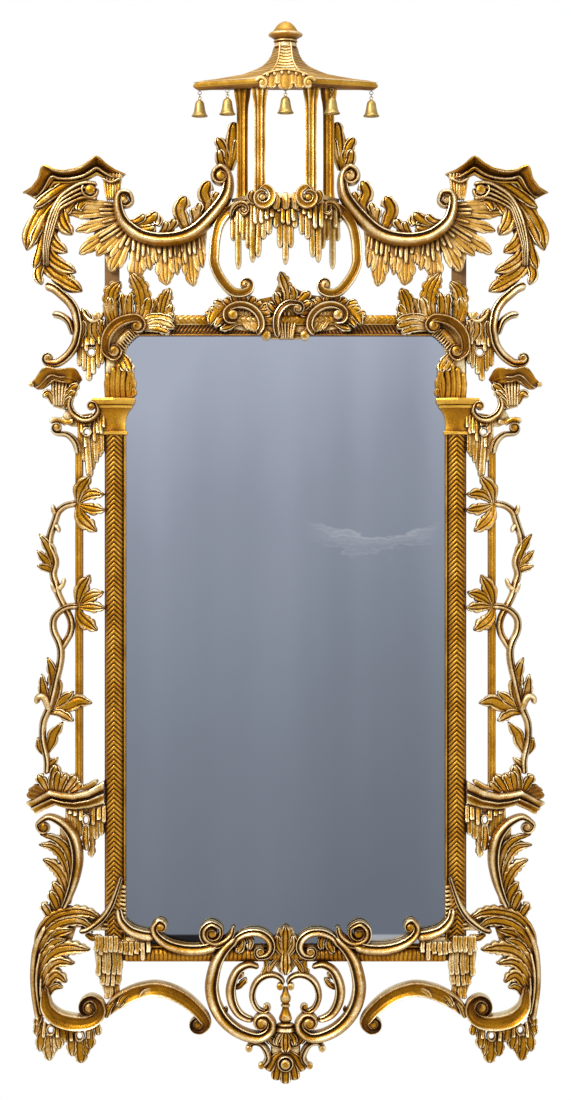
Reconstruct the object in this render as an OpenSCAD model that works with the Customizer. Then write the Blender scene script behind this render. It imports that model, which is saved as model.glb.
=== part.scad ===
/* [Glass] */
// Width of the looking glass that shows inside the frame
sight_w = 542; // [460:1:700]
// Height of the looking glass that shows inside the frame
sight_h = 1034; // [900:1:1300]
// Thickness of the glass
glass_t = 4; // [3:0.5:6]
// How far the glass runs behind the frame at each edge
glass_lap = 8; // [5:1:10]

/* [Carcass] */
// Width of each upright post behind the carving
post_w = 24; // [22:1:27]
// Depth of the batten across the back, flush with the posts
batten_t = 8; // [6:0.5:10]
// Thickness of the backboards
board_t = 6; // [4:0.5:9]
// Thickness of the blocks that hold the glass off the backboards
block_t = 4; // [3:0.5:6]
// Height of the batten across the backboards
batten_h = 60; // [40:1:90]
// Gap between the two backboards
board_gap = 2; // [1:0.5:4]
// Height of the moulding across the top
top_h = 36; // [30:1:40]
// Height of the moulding across the bottom
sill_h = 29; // [26:1:34]

/* [Carving] */
// Thickness of the ground layer of the carving
ground_d = 16; // [12:1:20]
// Thickness of the raised layer of the carving
relief_d = 16; // [12:1:20]
// Width of each herringbone pilaster
pilaster_w = 37; // [34:1:40]
// Forward reach of the small canopies past the ground layer
canopy_reach = 34; // [24:1:44]
// Width of the big C scrolls of the crest
crest_w = 23; // [18:1:26]
// Width of the S scrolls beside the glass
bracket_w = 15; // [12:1:18]
// Width of the vine stems
stem_w = 9; // [7:0.5:11]
// Width of the side bars
bar_w = 14; // [10:1:18]
// Width of the scrolls below the glass
apron_w = 22; // [18:1:24]

/* [Pagoda] */
// Half width of the pagoda roof at its tips
roof_r = 157; // [145:1:170]
// Forward reach of the pagoda roof
roof_reach = 114; // [108:1:124]
// Half width of the front of the pagoda roof
roof_front = 39; // [34:1:44]
// Thickness of the eaves board
eave_t = 13; // [9:1:16]
// Height of the concave roof above its eaves
roof_h = 76; // [60:1:90]
// Height of the pagoda columns
column_h = 178; // [150:1:210]
// Radius of the pagoda columns, over their corners
column_r = 10.5; // [9:0.5:12]
// Radius of the finial at its widest
finial_r = 29; // [24:0.5:34]
// Height of the finial
finial_h = 39; // [32:1:50]

/* [Bells] */
// Height of a bell below its loop
bell_h = 29; // [24:1:34]
// Radius of a bell at its rim
bell_r = 13.8; // [11:0.1:15]
// Wall thickness of a bell
bell_wall = 1.6; // [1.2:0.1:2.2]
// Radius of the wire of the eyes and links
wire_r = 0.6; // [0.5:0.05:0.8]
// Radius of an eye or link, to the middle of its wire
link_r = 3; // [2.8:0.1:4]
// Clearance between wires that hang in each other
play = 0.3; // [0.25:0.05:0.5]

/* [Hangers] */
// Inside width of a hanger ring
ring_w = 12; // [10:0.5:13]
// Radius of the wire of a hanger ring
ring_wire_r = 1.4; // [1.2:0.1:1.6]
// Thickness of a hanger plate
plate_t = 1.5; // [1:0.1:2]
// Height of a hanger plate
plate_h = 34; // [28:1:44]
// Depth of the pocket in the post for a hanger
pocket_d = 7; // [6:0.5:9]
// Radius of a backboard screw
screw_r = 2.5; // [2:0.1:3]

/* [Hidden] */
$fn = 40;

gold = [0.75, 0.55, 0.2];
pale_gold = [0.88, 0.78, 0.58];
pine = [0.62, 0.45, 0.28];

// Depths, from the wall towards the front
boards_y = batten_t;
blocks_y = boards_y + board_t;
glass_y = blocks_y + block_t;
carcass_d = glass_y + glass_t;
relief_y = carcass_d + ground_d;
front_y = relief_y + relief_d;
bar_y = 6;
LAYER_Y = [bar_y, carcass_d, relief_y, front_y];
LAYER_D = [carcass_d - bar_y, ground_d, relief_d, 8];

// The carving's outlines were drawn round a glass of this width and height;
// another size of glass moves them
DRAWN = [542, 1034];
glass_mid = -151;
grow_x = (sight_w - DRAWN[0]) / 2;
grow_z = (sight_h - DRAWN[1]) / 2;
still_x = 100;
drawn_side = DRAWN[0] / 2;
upper_z = 160;
lower_z = -400;
sight_x = sight_w / 2;
sight_top = glass_mid + sight_h / 2;
sight_bottom = glass_mid - sight_h / 2;
pilaster_x = sight_x + pilaster_w;
post_in = pilaster_x - post_w;

function stretch_x(x) =
    abs(x) <= still_x ? x
    : abs(x) >= drawn_side ? x + sign(x) * grow_x
    : x + sign(x) * grow_x * (abs(x) - still_x) / (drawn_side - still_x);
function stretch_z(z) =
    z >= upper_z ? z + grow_z
    : z <= lower_z ? z - grow_z
    : z + grow_z * (2 * (z - lower_z) / (upper_z - lower_z) - 1);
function place(p) = [for (q = p) [stretch_x(q[0]), stretch_z(q[1])]];

// A smooth line through hand-placed points, with steps pieces between two
steps = 3;
function ease(a, b, c, d, t) =
    0.5 * (2 * b + (c - a) * t + (2 * a - 5 * b + 4 * c - d) * t * t
    + (3 * b - a - 3 * c + d) * t * t * t);
function line(p) = [
    for (i = [0:len(p) - 2], k = [0:steps - 1])
        ease(p[max(i - 1, 0)], p[i], p[i + 1], p[min(i + 2, len(p) - 1)], k / steps),
    p[len(p) - 1]
];
function width_at(w, t) =
    let (s = t * (len(w) - 1), i = min(floor(s), len(w) - 2))
    w[i] + (w[i + 1] - w[i]) * (s - i);
function across(c, i) =
    let (a = c[max(i - 1, 0)], b = c[min(i + 1, len(c) - 1)], d = b - a)
    [-d[1], d[0]] / norm(d);
function ribbon(c, w) =
    let (n = len(c) - 1)
    concat(
        [for (i = [0:n]) c[i] + across(c, i) * width_at(w, i / n) / 2],
        [for (i = [n:-1:0]) c[i] - across(c, i) * width_at(w, i / n) / 2]
    );

// A flat shape in the front view, cut from one layer of the carving
module plate(layer, p) {
    translate([0, -LAYER_Y[layer], 0])
        rotate([90, 0, 0])
            linear_extrude(LAYER_D[layer])
                polygon(p);
}
module plank(layer, p) { plate(layer, place(p)); }
module stroke(layer, p, w) { plate(layer, ribbon(line(place(p)), w)); }
module eye(layer, p, r, extra = 0) {
    q = place([p])[0];
    translate([q[0], -LAYER_Y[layer], q[1]])
        rotate([90, 0, 0])
            cylinder(h = LAYER_D[layer] + extra, r = r, $fn = 24);
}
// Leaf lobes: each goes from its root to its tip and tapers
module lobes(layer, w, list) {
    for (p = list) stroke(layer, p, [w, w, 2]);
}
// A cut across the carving, used to fit one piece against another
module cut_box(x1, x2, z1, z2) {
    translate([x1, -400, z1]) cube([x2 - x1, 500, z2 - z1]);
}
module both() {
    children();
    mirror([1, 0, 0]) children();
}

// Carcass
ring_r = ring_w / 2 + ring_wire_r;
pocket_w = 2 * (ring_r + ring_wire_r) + 1.5;
pocket_h = plate_h + ring_w + 16;
hanger_z = 330 + grow_z;
hanger_x = pilaster_x - post_w / 2;
post_top = 525;
post_foot = -757;
module back_post() {
    color(pine) difference() {
        translate([-pilaster_x, -carcass_d, post_foot - grow_z])
            cube([post_w, carcass_d, post_top - post_foot + 2 * grow_z]);
        translate([-hanger_x - pocket_w / 2, -pocket_d, hanger_z - pocket_h + plate_h + 4])
            cube([pocket_w, pocket_d + 1, pocket_h]);
    }
}
rail_gap = 1;
top_z = sight_top + top_h;
bottom_z = sight_bottom - sill_h;
glass_top = sight_top + glass_lap;
glass_bottom = sight_bottom - glass_lap;
module back_rail(z1, z2) {
    color(pine) translate([-post_in, -carcass_d, z1])
        cube([2 * post_in, carcass_d, z2 - z1]);
}
module backboards() {
    low = glass_bottom + rail_gap;
    high = glass_top - rail_gap;
    split = glass_mid - 20;
    color(pine) {
        translate([-post_in + rail_gap, -blocks_y, low])
            cube([2 * (post_in - rail_gap), board_t, split - board_gap / 2 - low]);
        translate([-post_in + rail_gap, -blocks_y, split + board_gap / 2])
            cube([2 * (post_in - rail_gap), board_t, high - split - board_gap / 2]);
    }
}
screw_gap = 0.05;
SCREW_X = [-200, -70, 70, 200];
module backboard_batten() {
    color(pine) difference() {
        translate([-post_in, -batten_t, -batten_h / 2])
            cube([2 * post_in, batten_t, batten_h]);
        for (x = SCREW_X)
            translate([x, 1, 0]) rotate([90, 0, 0])
                cylinder(h = batten_t + 2, r = screw_r + screw_gap);
    }
}
module back_screws() {
    color("dimgray") {
        for (x = SCREW_X)
            translate([x, 0, 0]) rotate([90, 0, 0]) cylinder(h = batten_t, r = screw_r);
        for (s = [-1, 1], z = [8, plate_h - 6])
            translate([s * hanger_x, plate_t - pocket_d + 1.2, hanger_z + z])
                rotate([90, 0, 0]) cylinder(h = 1.2, r = screw_r);
    }
}
module mirror_plate() {
    color([0.52, 0.55, 0.62])
        translate([-sight_x - glass_lap, -carcass_d, glass_bottom])
            cube([2 * (sight_x + glass_lap), glass_t, glass_top - glass_bottom]);
}
block_w = 12;
block_l = 50;
module glass_blocks() {
    rows = 5;
    color(pine) {
        for (s = [-1, 1], i = [0:rows - 1])
            translate([
                s * (post_in - block_w / 2) - block_w / 2, -glass_y,
                sight_bottom + 60 + i * (sight_h - 120) / (rows - 1) - block_l / 2
            ]) cube([block_w, block_t, block_l]);
        for (z = [glass_bottom, glass_top - block_w], x = [-150, 0, 150])
            translate([x - block_l / 2, -glass_y, z]) cube([block_l, block_t, block_w]);
    }
}

// Frame mouldings: a raised edge on each side of a V-shaped channel
edge_w = 6;
ridge_h = 4;
capital_low = 198;
pilaster_foot = -650;
function channel(w, d) = [
    [0, 0], [w, 0], [w, d - 2], [w - edge_w, d - 2], [w - edge_w, d - ridge_h - 3],
    [w * 0.47, d], [w * 0.43, d], [2, d - ridge_h - 3], [0, d - ridge_h - 3]
];
module pilaster() {
    color(gold)
        translate([-pilaster_x, -carcass_d, pilaster_foot - grow_z])
            mirror([0, 1, 0])
                linear_extrude(capital_low - pilaster_foot + 2 * grow_z)
                    polygon(channel(pilaster_w, ground_d));
}
corner_x = 244;
module bar_along_x(x1, x2, z, h) {
    translate([x1, -carcass_d, z])
        rotate([90, 0, 90]) mirror([1, 0, 0])
            linear_extrude(x2 - x1) polygon([
                [0, 0], [ground_d - 4, 0], [ground_d - 4, 5], [ground_d - 8, 7],
                [ground_d - 8, h * 0.45], [ground_d, h * 0.6], [ground_d, h], [0, h]
            ]);
}
module top_moulding() {
    inner = corner_x + grow_x;
    color(gold) bar_along_x(-inner, inner, sight_top, top_h);
}
module sill_moulding() {
    color(gold) {
        bar_along_x(-sight_x, sight_x, bottom_z, sill_h);
        both() plank(1, [[-271, -600], [-268, -622], [-256, -636], [-238, -641],
            [-222, -643], [-222, -676], [-271, -676]]);
    }
}

// Capital: a stack of square slabs that flare upward
CAPITAL = [[198, 200, 24], [200, 205, 26], [205, 214, 22], [214, 224, 23.5],
    [224, 234, 26], [234, 243, 31], [243, 249, 34], [249, 260, 39]];
capital_x = pilaster_x - 19;
module capital() {
    color(gold) intersection() {
        for (c = CAPITAL)
            translate([-capital_x - c[2], -carcass_d - ground_d - c[2] * 0.55, c[0] + grow_z])
                cube([2 * c[2], ground_d + c[2] * 0.55, c[1] - c[0]]);
        difference() {
            cut_box(-600, -sight_x + 22, 0, 2000);
            translate([-600, -relief_y, 0]) cube([600 - pilaster_x, 100, 2000]);
        }
    }
}

// Corner of the frame: upright leaf, ribbed corner scroll and flames
module corner_scroll() {
    color(gold) {
        plank(1, [[-308, 260], [-262, 260], [-258, 276], [-260, 290], [-267, 308],
            [-271, 325], [-271, 350], [-267, 360], [-259, 366], [-244, 366],
            [-244, 402], [-308, 402]]);
        stroke(2, [[-292, 262], [-293, 285], [-292, 318]], [28, 24, 14]);
        stroke(2, [[-272, 262], [-272, 285], [-280, 312]], [20, 16, 6]);
        stroke(2, [[-244, 388], [-252, 394], [-265, 393], [-280, 388], [-292, 379],
            [-300, 365], [-303, 350], [-300, 338]], [10, 14, 15, 14]);
        eye(2, [-252, 383], 9, 5);
        eye(2, [-291, 341], 11, 5);
        plank(2, [[-258, 382], [-273, 374], [-284, 360], [-297, 362], [-290, 380],
            [-266, 391]]);
        lobes(1, 22, [
            [[-292, 398], [-292, 422], [-287, 449]],
            [[-256, 398], [-251, 422], [-259, 447]],
            [[-215, 408], [-209, 422], [-201, 442]]
        ]);
        lobes(1, 12, [[[-243, 407], [-238, 416], [-231, 428]]]);
        plank(1, [[-246, 402], [-190, 402], [-190, 410], [-206, 416], [-228, 412],
            [-246, 418]]);
    }
}

// Crest: the big C scroll with its leaves, on the dripping fan
module crest_scroll() {
    color(gold) {
        stroke(2, [[-283, 592], [-282, 577], [-275, 560], [-260, 545], [-240, 534],
            [-213, 529], [-185, 531], [-163, 538], [-146, 549], [-129, 566],
            [-112, 586], [-103, 604], [-101, 622], [-103, 636]],
            [16, 20, crest_w, crest_w, 20, 14]);
        eye(2, [-276, 594], 16, 3);
        eye(2, [-110, 635], 17, 3);
        lobes(2, 16, [
            [[-268, 552], [-240, 562], [-218, 571]],
            [[-208, 532], [-184, 552], [-170, 596]],
            [[-160, 545], [-140, 575], [-130, 624]],
            [[-112, 640], [-99, 690], [-90, 727]]
        ]);
        lobes(2, 12, [
            [[-196, 536], [-190, 552], [-187, 566]],
            [[-178, 545], [-162, 566], [-156, 584]],
            [[-150, 560], [-144, 590], [-139, 612]],
            [[-138, 565], [-126, 590], [-119, 612]],
            [[-108, 645], [-110, 670], [-117, 699]],
            [[-104, 650], [-101, 680], [-105, 703]]
        ]);
    }
}
module crest_drip() {
    color(pale_gold) plank(1, [
        [-290, 596], [-330, 594], [-357, 592], [-370, 571], [-340, 566], [-337, 559],
        [-354, 541], [-334, 549], [-341, 530], [-350, 508], [-331, 527], [-319, 514],
        [-318, 501], [-304, 520], [-306, 505], [-310, 480], [-303, 477], [-286, 479],
        [-285, 512], [-274, 512], [-274, 480], [-266, 482], [-253, 463], [-244, 474],
        [-240, 494], [-234, 494], [-230, 476], [-224, 474], [-220, 488], [-208, 470],
        [-202, 457], [-190, 464], [-184, 478], [-176, 474], [-170, 472], [-157, 454],
        [-146, 473], [-140, 493], [-137, 510], [-131, 512], [-131, 544], [-124, 556], [-150, 552],
        [-200, 536], [-250, 545], [-272, 570]
    ]);
}

// A small canopy: a front outline and a plan that comes forward
module canopy(outline, plan, deep) {
    intersection() {
        translate([0, -carcass_d, 0]) rotate([90, 0, 0])
            linear_extrude(deep) polygon(place(outline));
        translate([0, 0, -1500]) linear_extrude(3000)
            polygon([for (q = plan) [stretch_x(q[0]), -carcass_d - deep * q[1]]]);
    }
}
module corner_roof() {
    color(gold) {
        canopy([[-420, 598], [-447, 612], [-432, 624], [-409, 652], [-397, 646],
            [-373, 644], [-346, 651], [-319, 667], [-298, 650], [-273, 643],
            [-279, 634], [-298, 630], [-321, 640], [-345, 628], [-391, 626],
            [-414, 596]],
            [[-448, 0], [-448, 0.1], [-409, 1], [-319, 1], [-272, 0.5], [-272, 0]],
            ground_d + canopy_reach);
        plank(1, [[-311, 645], [-311, 630], [-303, 598], [-285, 598], [-279, 630],
            [-277, 645]]);
    }
}

// Shoulder: the acanthus spray under the corner roof
module shoulder_leaf() {
    color(gold) {
        stroke(2, [[-316, 610], [-328, 618], [-352, 617], [-378, 607], [-394, 590],
            [-404, 574], [-412, 560], [-415, 540], [-415, 510], [-412, 486], [-408, 449]],
            [12, 13, 14, 15, 14, 12, 9]);
        eye(2, [-331, 611], 11, 3);
        lobes(2, 16, [
            [[-378, 602], [-398, 592], [-427, 578]],
            [[-398, 590], [-416, 574], [-432, 548]],
            [[-408, 570], [-426, 556], [-438, 518]],
            [[-413, 540], [-424, 520], [-428, 482]],
            [[-413, 510], [-422, 490], [-420, 458]],
            [[-400, 580], [-380, 570], [-365, 543]],
            [[-410, 552], [-394, 536], [-374, 512]],
            [[-412, 520], [-394, 503], [-359, 477]],
            [[-410, 500], [-382, 484], [-358, 465]],
            [[-411, 485], [-385, 470], [-350, 447]],
            [[-385, 602], [-370, 592], [-366, 578]]
        ]);
    }
}

// Bracket: S scroll, pierced web, side roof, pierced body and drip
module side_bracket() {
    color(gold) difference() {
        union() {
            stroke(1, [[-410, 455], [-396, 448], [-381, 437], [-367, 425], [-358, 410],
                [-354, 395], [-352, 380], [-354, 365], [-358, 350], [-367, 336],
                [-378, 326], [-390, 321], [-402, 326]], [bracket_w, bracket_w, 12, 9]);
            eye(1, [-402, 327], 8, 3);
            stroke(1, [[-398, 405], [-378, 400], [-365, 388], [-356, 370]], [6, 11, 12]);
            stroke(1, [[-352, 408], [-340, 398], [-329, 392], [-319, 394], [-311, 406],
                [-311, 416]], [8, 9, 8]);
            plank(1, [[-354, 398], [-308, 398], [-308, 312], [-316, 312], [-326, 300],
                [-334, 289], [-341, 308], [-345, 300], [-360, 296], [-398, 296],
                [-398, 320], [-375, 326], [-360, 342], [-351, 356]]);
            plank(1, [[-398, 288], [-356, 290], [-352, 270], [-345, 232], [-308, 240], [-308, 166],
                [-322, 166], [-326, 140], [-332, 125], [-338, 142], [-347, 160],
                [-375, 166], [-383, 194], [-398, 212],
                [-394, 226], [-397, 246], [-411, 260], [-402, 272]]);
            stroke(1, [[-364, 268], [-366, 247], [-358, 233], [-343, 225], [-328, 228],
                [-319, 239], [-321, 252]], [10, 12, 11, 8]);
            eye(1, [-390, 204], 11, 4);
            eye(1, [-402, 218], 7, 2);
            canopy([[-420, 275], [-435, 285], [-424, 293], [-407, 312], [-359, 311],
                [-350, 300], [-353, 285], [-367, 280], [-400, 282]],
                [[-436, 0], [-436, 0.1], [-403, 1], [-362, 1], [-350, 0.6], [-350, 0]],
                ground_d + canopy_reach * 0.6);
        }
        translate([stretch_x(-331), 0, stretch_z(339)]) rotate([90, 0, 0])
            cylinder(h = 200, r = 4.5);
        translate([stretch_x(-337), 0, stretch_z(202)]) rotate([90, 0, 0])
            cylinder(h = 200, r = 4);
        cut_box(-pilaster_x, 0, -900, 2000);
    }
}
side_bar_x = -351;
module side_bar() {
    color(pale_gold) {
        stroke(0, [[side_bar_x, 176], [-353, 190], [-363, 203], [-374, 212], [-388, 213]],
            [bar_w, bar_w, 12]);
        plank(0, [[side_bar_x - bar_w / 2, 177], [side_bar_x + bar_w / 2, 177],
            [side_bar_x + bar_w / 2, -402], [side_bar_x - bar_w / 2, -402]]);
    }
}

// Vine: two stems that cross, with leaves, all slimmer where the side is shorter
slim = min(1, 1 + 2 * grow_z / (upper_z - lower_z));
stem = stem_w * slim;
module vine() {
    color(gold) difference() {
        union() {
            stroke(1, [[-352, 82], [-373, 77], [-386, 67], [-391, 55], [-395, 43],
                [-400, 27], [-402, 13], [-395, -5], [-390, -20], [-393, -38], [-391, -54],
                [-386, -73], [-379, -90], [-368, -104], [-364, -120], [-366, -140],
                [-373, -153], [-382, -164]], [stem, stem, stem]);
            stroke(1, [[-352, -97], [-370, -97], [-384, -103], [-393, -113], [-396, -127],
                [-394, -139], [-388, -151], [-383, -164], [-383, -180], [-385, -197],
                [-389, -211], [-395, -240], [-402, -265], [-411, -288], [-413, -306],
                [-411, -323], [-408, -341], [-405, -360], [-406, -380], [-405, -400]],
                [stem, stem, stem + 2]);
            lobes(1, 18 * slim, [
                [[-362, 74], [-345, 96], [-331, 123]],
                [[-358, 76], [-330, 92], [-306, 112]],
                [[-356, 72], [-330, 74], [-304, 74]],
                [[-360, 70], [-340, 62], [-316, 38]]
            ]);
            lobes(1, 11 * slim, [
                [[-394, -40], [-412, -24], [-422, 22]],
                [[-395, -30], [-404, -10], [-412, 8]],
                [[-391, -58], [-398, -62], [-404, -58]],
                [[-384, -76], [-382, -60], [-378, -48]],
                [[-391, 62], [-395, 72], [-397, 82]],
                [[-397, 34], [-388, 40], [-378, 40]]
            ]);
            lobes(1, 18 * slim, [
                [[-360, -94], [-346, -72], [-334, -42]],
                [[-358, -96], [-330, -84], [-308, -66]],
                [[-356, -98], [-330, -102], [-306, -100]],
                [[-356, -104], [-340, -114], [-318, -130]]
            ]);
            lobes(1, 16 * slim, [
                [[-398, -268], [-414, -235], [-412, -184]],
                [[-399, -272], [-424, -244], [-427, -222]],
                [[-397, -266], [-374, -238], [-340, -255]],
                [[-400, -276], [-384, -272], [-370, -286]],
                [[-410, -310], [-398, -306], [-388, -296]],
                [[-410, -336], [-419, -329], [-427, -318]]
            ]);
        }
        cut_box(-pilaster_x, 0, -900, 900);
    }
}

// Shelf: plumes on a small canopy with a pierced drip below
module shelf() {
    color(gold) difference() {
        union() {
            lobes(2, 15, [
                [[-392, -402], [-402, -392], [-419, -381]],
                [[-388, -402], [-388, -385], [-387, -366]],
                [[-382, -404], [-378, -392], [-371, -381]],
                [[-378, -406], [-366, -394], [-355, -384]],
                [[-398, -406], [-418, -402], [-432, -406]]
            ]);
            canopy([[-427, -437], [-441, -430], [-431, -420], [-414, -405], [-403, -401],
                [-380, -405], [-361, -407], [-340, -401], [-321, -394], [-306, -387],
                [-306, -434], [-330, -438], [-395, -440]],
                [[-442, 0], [-442, 0.1], [-400, 1], [-330, 1], [-306, 0.4], [-306, 0]],
                ground_d + canopy_reach);
            plank(1, [[-378, -432], [-300, -432], [-300, -486], [-315, -484],
                [-323, -491], [-330, -520], [-339, -507], [-345, -490], [-362, -476],
                [-376, -462]]);
        }
        translate([stretch_x(-339), 0, stretch_z(-456)]) rotate([90, 0, 0])
            cylinder(h = 200, r = 5);
        cut_box(-pilaster_x, 0, -900, 0);
    }
}

arch_start = -316;
// Leg: leafy upper scroll, leaf knee, C scroll and dripping foot
module leg() {
    color(gold) difference() {
        union() {
            stroke(2, [[-421, -462], [-405, -450], [-389, -454], [-376, -464],
                [-363, -478], [-354, -495], [-350, -512], [-351, -530], [-355, -555],
                [-363, -580], [-374, -604]], [8, 12, 14, 16, 16, 18, 20]);
            eye(2, [-410, -467], 12, 3);
            lobes(2, 14, [
                [[-352, -525], [-380, -508], [-418, -498]],
                [[-354, -500], [-382, -484], [-415, -480]],
                [[-358, -550], [-384, -534], [-412, -523]],
                [[-362, -566], [-386, -556], [-404, -544]],
                [[-368, -590], [-388, -578], [-398, -562]]
            ]);
            plank(1, [[-362, -596], [-344, -606], [-329, -609], [-308, -613],
                [-308, -648], [-326, -650], [-340, -646], [-357, -642], [-371, -651],
                [-350, -668], [-335, -673], [-356, -684], [-359, -702], [-378, -700],
                [-376, -716], [-398, -722], [-371, -736], [-396, -742], [-404, -756],
                [-399, -774], [-385, -791], [-360, -790], [-335, -786], [-322, -784],
                [arch_start, -792], [arch_start, -806], [-320, -817],
                [-330, -832], [-344, -866], [-358, -858], [-370, -846],
                [-376, -832], [-384, -836], [-389, -848], [-401, -861], [-418, -851],
                [-419, -834], [-425, -793], [-423, -778], [-425, -759], [-430, -736],
                [-433, -717], [-431, -700], [-426, -676], [-429, -659], [-421, -634],
                [-408, -612], [-384, -600]]);
            stroke(2, [[-404, -748], [-406, -766], [-399, -780], [-385, -790],
                [-369, -796], [-352, -798], [-335, -796], [-322, -789], [-315, -778],
                [-317, -767]], [14, 20, 24, 24, 18, 14, 10]);
            eye(2, [-331, -773], 14, 5);
            lobes(2, 12, [
                [[-400, -750], [-420, -724], [-398, -690]],
                [[-402, -742], [-410, -712], [-370, -682]]
            ]);
        }
        for (h = [[-399, -816], [-350, -826]])
            translate([stretch_x(h[0]), 0, stretch_z(h[1])]) rotate([90, 0, 0])
                cylinder(h = 200, r = 5);
        translate([-pilaster_x, -relief_y - 1, -900]) cube([900, 200, 900 - 650]);
        cut_box(-pilaster_x, 0, -650 - grow_z, 0);
    }
}

// Sill: corner straps, S and V scrolls, and the drip on the post foot
module sill_scroll() {
    color(gold) {
        stroke(2, [[-279, -553], [-284, -570], [-290, -586], [-298, -603], [-308, -619],
            [-322, -632], [-337, -641], [-352, -645]], [8, 9, 9, 8]);
        stroke(2, [[-283, -606], [-276, -630], [-258, -640], [-240, -643], [-218, -644]],
            [10, 13, 13]);
        stroke(2, [[-226, -646], [-215, -637], [-205, -643], [-205, -656], [-197, -667],
            [-182, -673], [-163, -676], [-140, -674], [-118, -668]], [8, 10, 13, 15, 14]);
        stroke(2, [[-136, -650], [-132, -662], [-119, -668], [-107, -663], [-99, -653],
            [-92, -641]], [7, 9, 11, 8]);
        eye(2, [-126, -647], 10, 4);
        plank(1, [[-pilaster_x + grow_x, -650], [-271, -650], [-271, -697], [-232, -697],
            [-242, -712], [-254, -702], [-271, -706], [-278, -722], [-284, -744],
            [-300, -756], [-308, -756], [-318, -738], [-322, -720], [-326, -686], [-326, -650]]);
    }
}

// Apron: side arches, and the openwork cartouche with its pendant
module apron_arch() {
    color(gold) difference() {
        union() {
            stroke(1, [[-322, -800], [-305, -782], [-290, -768], [-272, -756],
                [-248, -746], [-222, -742], [-195, -746], [-172, -757], [-152, -773],
                [-140, -788], [-137, -800]], [14, 24, 24, apron_w, apron_w, 18, 12]);
            eye(1, [-146, -799], 14, 3);
            lobes(1, 10, [
                [[-276, -762], [-282, -775], [-290, -786]],
                [[-250, -750], [-252, -764], [-262, -776]]
            ]);
        }
        cut_box(-600, arch_start - grow_x, -1200, 0);
    }
}
BALUSTER = [[-15, -813], [15, -813], [15, -806], [10, -800], [11, -791], [7, -776],
    [8, -769], [9, -760], [6, -750], [0, -746]];
module apron_cartouche() {
    color(gold) {
        both() {
            stroke(2, [[-76, -657], [-97, -676], [-112, -698], [-119, -725], [-120, -745],
                [-115, -768], [-103, -790], [-85, -808], [-63, -820], [-40, -822],
                [-25, -813], [-19, -800]], [6, 18, apron_w, apron_w, apron_w, 16, 8]);
            eye(2, [-34, -799], 11, 4);
            stroke(2, [[-36, -707], [-57, -701], [-73, -709], [-83, -724], [-88, -745],
                [-85, -766], [-75, -784], [-61, -794], [-48, -799]],
                [8, 13, 14, 14, 13, 11, 8]);
            stroke(2, [[-104, -776], [-92, -780], [-80, -785]], [8, 8, 8]);
            stroke(2, [[0, -735], [-10, -726], [-21, -722], [-33, -724], [-45, -734],
                [-52, -749], [-51, -765], [-43, -777], [-32, -780], [-24, -774]],
                [8, 9, 9, 8, 7]);
            stroke(2, [[-9, -704], [-24, -706], [-36, -709]], [24, 14, 8]);
            stroke(2, [[-90, -676], [-78, -657], [-57, -647], [-37, -648], [-23, -658],
                [-19, -672], [-27, -683], [-38, -684]], [10, 13, 14, 13, 11, 8]);
            eye(2, [-38, -675], 10, 4);
            stroke(2, [[-2, -836], [-24, -838], [-44, -836], [-57, -838], [-62, -843]],
                [14, 14, 9, 7]);
            eye(2, [-58, -844], 7, 3);
            stroke(2, [[-27, -838], [-27, -858], [-36, -872]], [12, 12, 6]);
            lobes(2, 14, [
                [[-4, -876], [-16, -880], [-26, -884]],
                [[-2, -880], [-8, -890], [-14, -900]]
            ]);
        }
        stroke(2, [[0, -638], [0, -660], [0, -690], [0, -738]], [8, 26, 24, 22, 10]);
        plate(2, place([[-19, -800], [19, -800], [19, -846], [14, -880], [6, -903],
            [-6, -903], [-14, -880], [-19, -846]]));
        translate([0, -relief_y - relief_d / 2, -grow_z])
            rotate_extrude() polygon([for (b = BALUSTER) if (b[0] >= 0) b,
                [0, -813]]);
        stroke(2, [[0, -735], [0, -752]], [8, 8]);
        eye(2, [0, -868], 12, 8);
    }
}

// Cartouche on the top rail: shells, a cave and a flame
module rail_cartouche() {
    color(gold) {
        both() {
            stroke(2, [[-100, 398], [-96, 410], [-80, 417], [-64, 415], [-50, 406],
                [-43, 393], [-43, 379], [-50, 368]], [9, 10, 10, 9]);
            eye(2, [-92, 400], 10, 4);
            plank(2, [[-131, 402], [-119, 414], [-116, 424], [-107, 426], [-98, 433],
                [-86, 430], [-74, 434], [-60, 431], [-44, 432], [-33, 420], [-25, 416],
                [-20, 398], [-24, 372], [-40, 366], [-50, 384], [-60, 400], [-84, 408],
                [-90, 390], [-112, 386], [-126, 386]]);
            stroke(2, [[-16, 366], [-17, 383], [-16, 398], [-9, 411], [0, 419]],
                [10, 10, 11, 12]);
            eye(2, [-32, 371], 12, 3);
            lobes(2, 14, [
                [[-8, 410], [-16, 424], [-19, 437]],
                [[10, 410], [30, 424], [41, 439]]
            ]);
        }
        plank(2, [[-16, 362], [16, 362], [14, 400], [0, 414], [-14, 400]]);
        lobes(2, 20, [[[4, 412], [3, 436], [0, 474]]]);
    }
}

// Scrolls that carry the pagoda between the crest scrolls
module throat_scrolls() {
    color(gold) both() {
        stroke(1, [[-56, 582], [-64, 588], [-76, 589], [-88, 584], [-101, 573],
            [-113, 554], [-119, 530], [-121, 505], [-120, 488], [-115, 472], [-104, 455],
            [-90, 441], [-76, 437], [-64, 441], [-58, 450]], [12, 15, 17, 17, 16, 10]);
        eye(1, [-70, 578], 11);
        eye(1, [-67, 450], 11);
    }
}

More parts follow.
